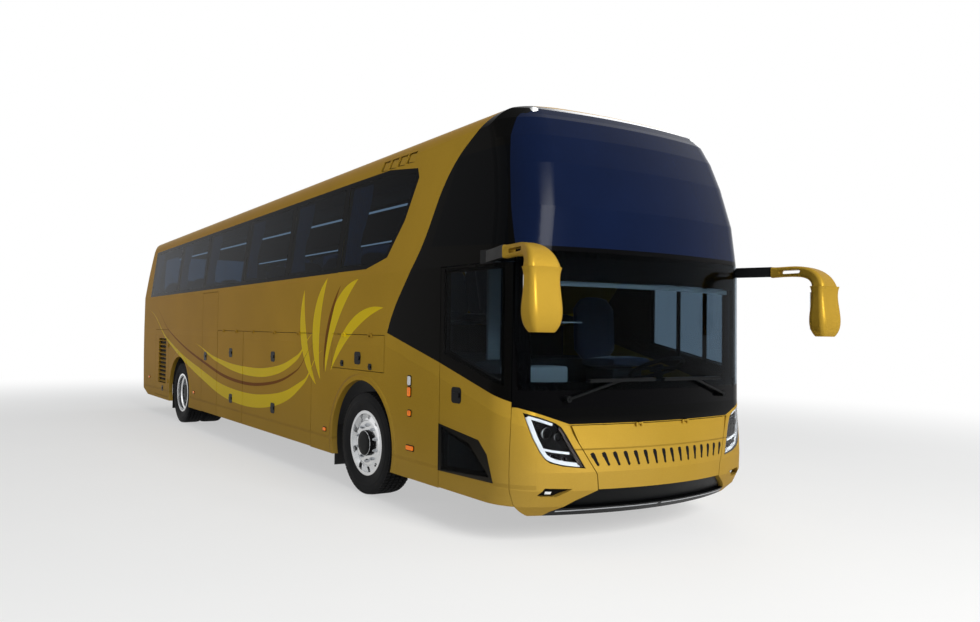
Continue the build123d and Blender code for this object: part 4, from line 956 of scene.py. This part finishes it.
class COACH_OT_wheels(bpy.types.Operator):
    """Makes treaded tyres, hub caps and wheel nuts"""
    bl_idname = "coach.wheels"
    bl_label = "Wheels"

    def execute(self, context):
        looks = context.scene.coach_looks
        nuts = copies_tree(FINISH["steel"], ring=True)
        for body, x, ys in WHEELS:
            side = 1 if ys[0] > 0 else -1
            place = body.replace("wheel_", "")
            tyre = piece("tyre_with_tread_" + place, tyre_mesh(looks, x, ys), "rubber", body,
                         35)
            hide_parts("tyre_" + place)
            face = side * (WHEEL_Y + 0.100) if x == 0.0 else side * 0.9505
            piece("wheel_nuts_" + place, nut_mesh(nuts, x, face, looks.nut_ring, 10, side), "steel", body,
                  30)
            cap = bmesh.new()
            if x == 0.0:
                rows = [(0.0985, 0.0), (0.0985, 0.1195), (0.128, 0.1195), (0.138, 0.114), (0.144, 0.100),
                        (0.146, 0.060), (0.147, 0.0)]
            else:
                rows = [(0.029, 0.0), (0.031, 0.1185), (0.060, 0.1185), (0.066, 0.112), (0.068, 0.070),
                        (0.069, 0.0)]
            add_lathe(cap, rows, (AXLE + x, side * WHEEL_Y, WHEEL_Z), sign=side)
            piece("hub_cap_" + place, mesh_of(cap), "plastic", body, 30)
        return {"FINISHED"}


class COACH_OT_lamps(bpy.types.Operator):
    """Makes the lamps, the lid landings and the rear window's band"""
    bl_idname = "coach.lamps"
    bl_label = "Lamps"

    def execute(self, context):
        front = skin_tree(("lamps", "front_mask", "front_bumper", "front_frame"))
        lid_skin = skin_tree(("front_mask", "front_lid", "front_bumper", "front_frame", "lamps"))
        lens, guide, house, chrome, amber, red = (bmesh.new() for _ in range(6))
        smoke, shut, pupil, clear, band = (bmesh.new() for _ in range(5))
        for side in (-1, 1):
            add_patch(lens, front, "front", handed(LAMP, side), 0.0005, 0.003, cuts=3)
            add_patch(house, front, "front", handed(LAMP, side), 0.052, 0.004, cuts=2)
            add_patch(guide, front, "front", ribbon(handed(LAMP_BAND, side), 0.027), 0.014, 0.012)
            add_patch(guide, front, "front", ribbon(handed(LAMP_TOP, side), 0.019), 0.015, 0.012)
            add_patch(guide, front, "front", ribbon(handed(LAMP_BAR, side), 0.016), 0.018, 0.012)
            inner = [(0.916, 0.874), (0.882, 0.822), (0.833, 0.730), (0.756, 0.588), (0.800, 0.610),
                     (0.858, 0.726),
                     (0.900, 0.806), (0.934, 0.866)]
            add_patch(smoke, front, "front", handed(inner, side), 0.010, 0.010)
            rim = ribbon(handed(LAMP + LAMP[:1], side), 0.006)
            add_patch(house, front, "front", rim, 0.004, 0.050, cuts=0)
            for y, z, radius in ((1.012, 0.830, 0.044), (0.930, 0.806, 0.034), (0.985, 0.668, 0.018),
                                 (0.900, 0.654, 0.016)):
                add_projector(pupil, chrome, front, side * y, z, radius)
            add_patch(house, front, "front", handed(FOG, side), 0.030, 0.004, cuts=2)
            add_patch(shut, lid_skin, "front", ribbon(handed(LID_EDGE, side), 0.075), 0.019, 0.004, cuts=2)
            add_patch(guide, front, "front", ribbon(handed(FOG_BAND, side), 0.020), 0.022, 0.006)
            add_box(clear, (1.910, side * 0.880 - 0.028, 3.190), (1.962, side * 0.880 + 0.028, 3.240), 0.008)
        rear = skin_tree(("lamps", "rear_wall", "rear_window", "engine_lid"))
        for side in (-1, 1):
            add_patch(house, rear, "rear", handed(REAR_LAMP, side), 0.010, 0.002, cuts=2)
            add_patch(lens, rear, "rear", handed(REAR_LAMP, side), 0.0005, 0.002, cuts=2)
            for low, high, group in ((0.915, 1.075, red), (1.085, 1.175, amber), (1.185, 1.265, guide),
                                     (1.275, 1.465, red)):
                lean = [(1.150 - (z - 0.902) * 0.068, z) for z in (low, high)]
                cell = [(0.997, low), (0.997, high), (lean[1][0], high), (lean[0][0], low)]
                add_patch(group, rear, "rear", handed(cell, side), 0.004, 0.005, cuts=1)
            add_patch(red, rear, "rear", rounded(side * 0.80, 2.98, 0.14, 0.035, 0.012), -0.006, 0.008,
                      cuts=1)
        # black band round the rear window, which hides the ledge that it is bonded to
        foot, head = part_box("rear_window")
        wide, low, high = head[1] - 0.024, foot[2] + 0.024, head[2] - 0.024
        edge = [(-wide, low), (-wide, high), (wide, high), (wide, low), (-wide, low)]
        add_patch(band, rear, "rear", ribbon(edge, 0.056), -0.0015, 0.003, cuts=3)
        for side in (-1, 1):
            post = [(side * (wide - 0.045), low), (side * (wide - 0.045), (low + high) / 2),
                    (side * (wide - 0.045), high)]
            add_patch(band, rear, "rear", ribbon(post, 0.100), -0.0012, 0.002, cuts=2)
        walls = skin_tree(("side_wall_right", "side_wall_left"))
        for facing in ("right", "left"):
            for kind, x, z, width, height in SIDE_LAMPS:
                corner = min(width, height) * 0.3
                group = clear if kind == "clear" else amber
                add_patch(group, walls, facing, rounded(x, z, width, height, corner), -0.010, 0.012, cuts=0)
                add_patch(house, walls, facing, rounded(x, z, width + 0.014, height + 0.014, corner), -0.004,
                          0.006, cuts=0)
        lamp_glass = piece("lamp_lenses", mesh_of(lens), "lens", smooth=40)
        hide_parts("lamps")
        for name, bm, finish, slot, smooth in (
                ("lamp_light_guides", guide, "guide", "lamp_lens", 40),
                ("lamp_projector_lenses", pupil, "black", "black_gloss", 60),
                ("lamp_housings", house, "matt", "black_plastic", 40),
                ("lamp_bezels", chrome, "chrome", "polished_alloy", 60),
                ("lamp_smoked_edges", smoke, "smoke", "black_plastic", 40),
                ("rear_window_band", band, "black", "black_gloss", 40),
                ("clear_marker_lamps", clear, "white", "lamp_lens", 40),
                ("amber_lamps", amber, "amber", "lamp_lens", 40),
                ("red_lamps", red, "red", "lamp_lens", 40),
                ("lid_landings", shut, "gold_plain", "gold_paint", 40)):
            piece(name, mesh_of(bm), finish, smooth=smooth)
        return {"FINISHED"}


class COACH_OT_fittings(bpy.types.Operator):
    """Makes catches, mirror glass, mud flaps, slot shadows, the intake lip, roof gills and black sheets of
    painted shade behind the louvres
    """
    bl_idname = "coach.fittings"
    bl_label = "Fittings"

    def execute(self, context):
        walls = skin_tree(("side_wall_right", "side_wall_left", "door_front", "door_mid") + FLAPS + SERVICE)
        by_body = {}
        for right_body, left_body, x, z, size in CATCHES:
            for facing, body in (("right", right_body), ("left", left_body)):
                if body is None:
                    continue
                bm = by_body.setdefault(body, bmesh.new())
                add_patch(bm, walls, facing, rounded(x, z, size, size, size * 0.22), -0.003, 0.005, cuts=0)
                add_patch(bm, walls, facing, rounded(x, z, size * 0.72, size * 0.30, size * 0.10), -0.012,
                          0.010, cuts=0)
        for body, bm in by_body.items():
            piece("catches_" + body, mesh_of(bm), "plastic", body, 35)
        glass, dark = bmesh.new(), bmesh.new()
        for side in (-1, 1):
            add_box(glass, (2.695, side * 1.500 - 0.100, 1.600), (2.700, side * 1.500 + 0.100, 1.905), 0.002)
            for x, inner in ((-0.672, 0.88), (REAR_AXLE - 0.622, 0.64)):
                near, far = sorted((side * inner, side * 1.20))
                add_box(dark, (x, near, 0.17), (x + 0.010, far, 0.60), 0.003)
        lid_skin = skin_tree(("front_lid", "front_mask", "front_bumper", "front_grille"))
        slots, lip = bmesh.new(), bmesh.new()
        add_patch(slots, lid_skin, "front", ribbon([(y, SLOT_Z) for y in (-0.76, -0.3, 0.3, 0.76)], 0.13),
                  0.024, 0.003, cuts=3)
        for side in (-1, 1):
            for index in range(8):
                steps = index + 0.5
                lean = math.radians(4.0 * steps)
                middle = Vector((side * 0.090 * steps, SLOT_Z))
                way = Vector((side * math.sin(lean), math.cos(lean)))
                out = Vector((way.y, -way.x)) * side
                drop = [middle + way * along + out * wide for along, wide in (
                    (-0.052, -0.003), (-0.010, -0.0140), (0.030, -0.0215), (0.046, -0.0190), (0.052, -0.004),
                    (0.049, 0.010),
                    (0.030, 0.0140), (-0.010, 0.0110), (-0.052, 0.003))]
                add_patch(slots, lid_skin, "front", [tuple(point) for point in drop], -0.0008, 0.0015, cuts=0)
            add_patch(lip, lid_skin, "front", ribbon([(side * 0.02, 0.276), (side * 0.50, 0.276),
                                                      (side * 0.90, 0.268)],
                                                     0.010), -0.003, 0.005, cuts=2)
        piece("lid_slot_shadows", mesh_of(slots), "matt", "front_lid", 40)
        piece("intake_lip_strip", mesh_of(lip), "steel", smooth=40)
        roof_skin = skin_tree(("roof", "side_wall_right", "side_wall_left"))
        gills, leaves = bmesh.new(), bmesh.new()
        for facing in ("right", "left"):
            for rear, front in ((0.090, 0.215), (0.235, 0.365), (0.385, 0.520), (0.540, 0.680)):
                cell = [(rear + 0.006, 3.026), (front - 0.006, 3.020), (front + 0.032, 3.100),
                        (rear + 0.044, 3.106)]
                add_patch(gills, roof_skin, facing, cell, -0.001, 0.003, cuts=1)
                leaf = [(rear + 0.030, 3.030), (front - 0.009, 3.024), (front + 0.026, 3.094),
                        (rear + 0.066, 3.100)]
                add_patch(leaves, roof_skin, facing, leaf, -0.009, 0.008, cuts=1)
        # matt black sheets behind the louvres: painted shade standing in for the dark space inside
        tail = skin_tree(("engine_lid", "rear_wall"))
        screen = bmesh.new()
        add_patch(screen, tail, "rear", [(-0.70, 0.62), (-0.70, 1.24), (0.70, 1.24), (0.70, 0.62)], 0.075,
                  0.003, cuts=3)
        piece("engine_louvre_shade_sheet", mesh_of(screen), "matt", "engine_lid", 40)
        # matt black sheets behind the service doors' louvres: painted shade standing in for the dark space
        # inside
        for facing in ("right", "left"):
            foot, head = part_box("service_door_" + facing)
            rear, front = foot[0] - AXLE + 0.06, head[0] - AXLE - 0.06
            panel = skin_point(skin_tree(("service_door_" + facing,)), facing, rear, 0.47).y
            inner = panel + FACING[facing].y * 0.034
            screen = bmesh.new()
            near, far = sorted((inner, inner + FACING[facing].y * 0.003))
            add_box(screen, (rear, near, 0.52), (front, far, 1.33), 0.001)
            piece("louvre_shade_sheet_" + facing, mesh_of(screen), "matt", "service_door_" + facing,
                  40)
        piece("roof_gill_frames", mesh_of(gills), "matt", smooth=40)
        piece("roof_gill_leaves", mesh_of(leaves), "gold_plain", smooth=40)
        piece("mirror_glasses", mesh_of(glass), "mirror")
        piece("mud_flaps", mesh_of(dark), "seal")
        return {"FINISHED"}


class COACH_OT_cabin(bpy.types.Operator):
    """Makes the seats, headliner, light strips, cab fittings and curtains"""
    bl_idname = "coach.cabin"
    bl_label = "Cabin"

    def execute(self, context):
        row = copies_tree(FINISH["seat"], ring=False)
        soft_meshes, hard_meshes = [], []
        for x, y, count in ((0.25, 0.715, 10), (0.25, -0.715, 5), (-5.35, -0.715, 3)):
            soft, hard = bmesh.new(), bmesh.new()
            seat_pair(x, y, FLOOR_Z, 0.88, soft, hard)
            pitch = (-SEAT_PITCH, 0.0, 0.0)
            soft_meshes.append(repeated(mesh_of(soft), row, Count=count, Pitch=pitch))
            hard_meshes.append(repeated(mesh_of(hard), row, Count=count, Pitch=pitch))
        soft, hard = bmesh.new(), bmesh.new()
        add_cushion(soft, (0.42, 0.48, 0.10), (1.335, 0.64, 1.285), lean=-0.05, channels=3)
        add_cushion(soft, (0.065, 0.48, 0.60), (1.062, 0.64, 1.58), lean=-0.05)
        add_box(hard, (1.14, 0.46, 0.852), (1.48, 0.82, 1.225), 0.01)
        soft_meshes.append(mesh_of(soft))
        hard_meshes.append(mesh_of(hard))
        seats = piece("seat_cushions", mesh_of(joined(soft_meshes)), "seat", smooth=60)
        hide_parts("seats")
        piece("seat_plinths", mesh_of(joined(hard_meshes)), "cabin")
        liner, strips, cab = bmesh.new(), bmesh.new(), bmesh.new()
        section = [(1.04, 2.895), (0.98, 3.02), (0.86, 3.10), (0.50, 3.175), (0.0, 3.195), (-0.50, 3.175),
                   (-0.86, 3.10),
                   (-0.98, 3.02), (-1.04, 2.895)]
        ends = []
        for x, rise in ((0.95, 0.0), (-8.10, -0.155)):
            outer_edge = [liner.verts.new((AXLE + x, y, z + rise)) for y, z in section]
            inner_edge = [liner.verts.new((AXLE + x, y * 0.985, z + rise - 0.012)) for y, z in section]
            ends.append(outer_edge + inner_edge[::-1])
        for index in range(len(ends[0])):
            after = (index + 1) % len(ends[0])
            liner.faces.new((ends[0][index], ends[0][after], ends[1][after], ends[1][index]))
        for index in range(len(section) - 1):
            mirror = len(ends[0]) - 1 - index
            for end in ends:
                liner.faces.new((end[index], end[index + 1], end[mirror - 1], end[mirror]))
        bmesh.ops.recalc_face_normals(liner, faces=liner.faces[:])
        piece("headliner", mesh_of(liner), "liner", smooth=30)
        for side in (-1, 1):
            add_box(strips, (-7.95, side * 0.7725 - 0.010, 2.762), (0.65, side * 0.7725 + 0.010, 2.7795),
                    0.003)
        piece("cabin_light_strips", mesh_of(strips), "strip")
        screen = skin_tree(("windscreen", "front_frame"))
        add_patch(cab, screen, "front", ribbon([(y, 1.90) for y in (-1.02, -0.5, 0.0, 0.5, 1.02)], 0.034),
                  0.075, 0.020, cuts=1)
        add_patch(cab, screen, "front", ribbon([(-1.02, 1.62), (-0.80, 1.62), (-0.66, 1.62)], 0.010), 0.10,
                  0.010, cuts=1)
        add_box(cab, (1.02, -0.60, 0.854), (1.06, -0.47, 2.12), 0.012)
        add_box(cab, (1.72, -1.00, 1.150), (1.96, -0.52, 1.285), 0.02, 3)
        blind = bmesh.new()
        add_patch(blind, screen, "front", ribbon([(y, 2.02) for y in (-1.08, -0.5, 0.0, 0.5, 1.08)], 0.20),
                  0.045, 0.004, cuts=2)
        for x in (1.58, 1.86):
            add_box(blind, (x, 1.150, 1.300), (x + 0.035, 1.170, 2.050), 0.004)
        piece("cab_sun_blind", mesh_of(blind), "matt", smooth=40)
        piece("cab_rail_and_post", mesh_of(cab), "pale", smooth=40)
        panes = skin_tree(("side_windows",))
        starts = [rear + 0.052 for rear, _ in PANES] + [-0.478]
        for facing in ("right", "left"):
            for index, (rear, tie) in enumerate(zip(starts, CURTAIN_TIES)):
                head = 2.945 + 0.0175 * rear
                mesh = curtain_mesh(panes, facing, rear, HEM_Z, head, tie)
                obj = piece("curtain_%s_%d" % (facing, index + 1), mesh, "curtain",
                            smooth=180)
        return {"FINISHED"}


class COACH_OT_stage(bpy.types.Operator):
    """Makes the studio floor, the lights and the camera"""
    bl_idname = "coach.stage"
    bl_label = "Stage"

    def execute(self, context):
        half = context.scene.coach_looks.floor_width / 2
        floor = bpy.data.meshes.new("floor")
        corners = [(-half, -half, 0), (half, -half, 0), (half, half, 0), (-half, half, 0)]
        floor.from_pydata(corners, [], [(0, 1, 2, 3)])
        ground = bpy.data.objects.new("studio_floor", floor)
        context.scene.collection.objects.link(ground)
        floor.materials.append(pale_floor())
        world = bpy.data.worlds.new("studio")
        world.use_nodes = True
        tree = world.node_tree
        tree.nodes.clear()
        seen = seen_directly(tree)
        soft = add(tree, "ShaderNodeBackground", {"Color": linear("#DDE4EC"), "Strength": 0.33})
        white = add(tree, "ShaderNodeBackground", {"Color": (1, 1, 1, 1), "Strength": 1.0})
        mixed = add(tree, "ShaderNodeMixShader", [seen, soft, white])
        add(tree, "ShaderNodeOutputWorld", {"Surface": mixed})
        context.scene.world = world
        # name, place, aim, width, power in watts
        for name, place, aim, width, power in (
                ("key", (18.0, -1.0, 8.0), (3.5, 0.0, 1.2), 7.0, 3000.0),
                ("side_fill", (-3.0, -16.0, 9.0), (-2.0, 0.0, 1.2), 9.0, 140.0),
                ("back_fill", (-8.0, 14.0, 9.0), (-2.0, 0.0, 1.5), 9.0, 500.0)):
            light = bpy.data.lights.new(name, "AREA")
            light.size = width
            light.energy = power
            lamp = bpy.data.objects.new(name, light)
            lamp.location = place
            lamp.rotation_euler = (Vector(aim) - Vector(place)).to_track_quat("-Z", "Y").to_euler()
            context.scene.collection.objects.link(lamp)
        yaw, pitch, roll = (math.radians(angle) for angle in (29.849, 1.291, 0.924))
        ahead = Vector((-math.cos(yaw), math.sin(yaw), 0.0))
        right = Vector((math.sin(yaw), math.cos(yaw), 0.0))
        up = Vector((0.0, 0.0, 1.0))
        look = ahead * math.cos(pitch) + up * math.sin(pitch)
        tilt = up * math.cos(pitch) - ahead * math.sin(pitch)
        across = right * math.cos(roll) + tilt * math.sin(roll)
        upward = tilt * math.cos(roll) - right * math.sin(roll)
        data = bpy.data.cameras.new("photo_view")
        data.sensor_width = 36.0
        data.lens = 29.148
        data.shift_x = 0.1122
        camera = bpy.data.objects.new("photo_view", data)
        camera.matrix_world = Matrix((
            (across.x, upward.x, -look.x, 9.5285), (across.y, upward.y, -look.y, -4.835),
            (across.z, upward.z, -look.z, 1.550), (0, 0, 0, 1)))
        context.scene.collection.objects.link(camera)
        context.scene.camera = camera
        context.scene.view_settings.view_transform = "Standard"
        return {"FINISHED"}


class COACH_PT_panel(bpy.types.Panel):
    """Lists the coach's operators and settings"""
    bl_idname = "COACH_PT_panel"
    bl_label = "Coach"
    bl_space_type = "VIEW_3D"
    bl_region_type = "UI"
    bl_category = "Coach"

    def draw(self, context):
        for operator in OPERATORS:
            self.layout.operator(operator.bl_idname)
        for name in CoachLooks.__annotations__:
            self.layout.prop(context.scene.coach_looks, name)


OPERATORS = (COACH_OT_finishes, COACH_OT_wheels, COACH_OT_lamps, COACH_OT_fittings, COACH_OT_cabin,
             COACH_OT_stage)


def register():
    """Registers the settings, the operators and the panel."""
    for each in (CoachLooks, *OPERATORS, COACH_PT_panel):
        bpy.utils.register_class(each)
    bpy.types.Scene.coach_looks = bpy.props.PointerProperty(type=CoachLooks)


def unregister():
    """Takes them away again."""
    del bpy.types.Scene.coach_looks
    for each in (COACH_PT_panel, *reversed(OPERATORS), CoachLooks):
        bpy.utils.unregister_class(each)


def main():
    """Dresses the coach."""
    register()
    for step in ("finishes", "wheels", "lamps", "fittings", "cabin", "stage"):
        getattr(bpy.ops.coach, step)()


if __name__ == "__main__":
    main()
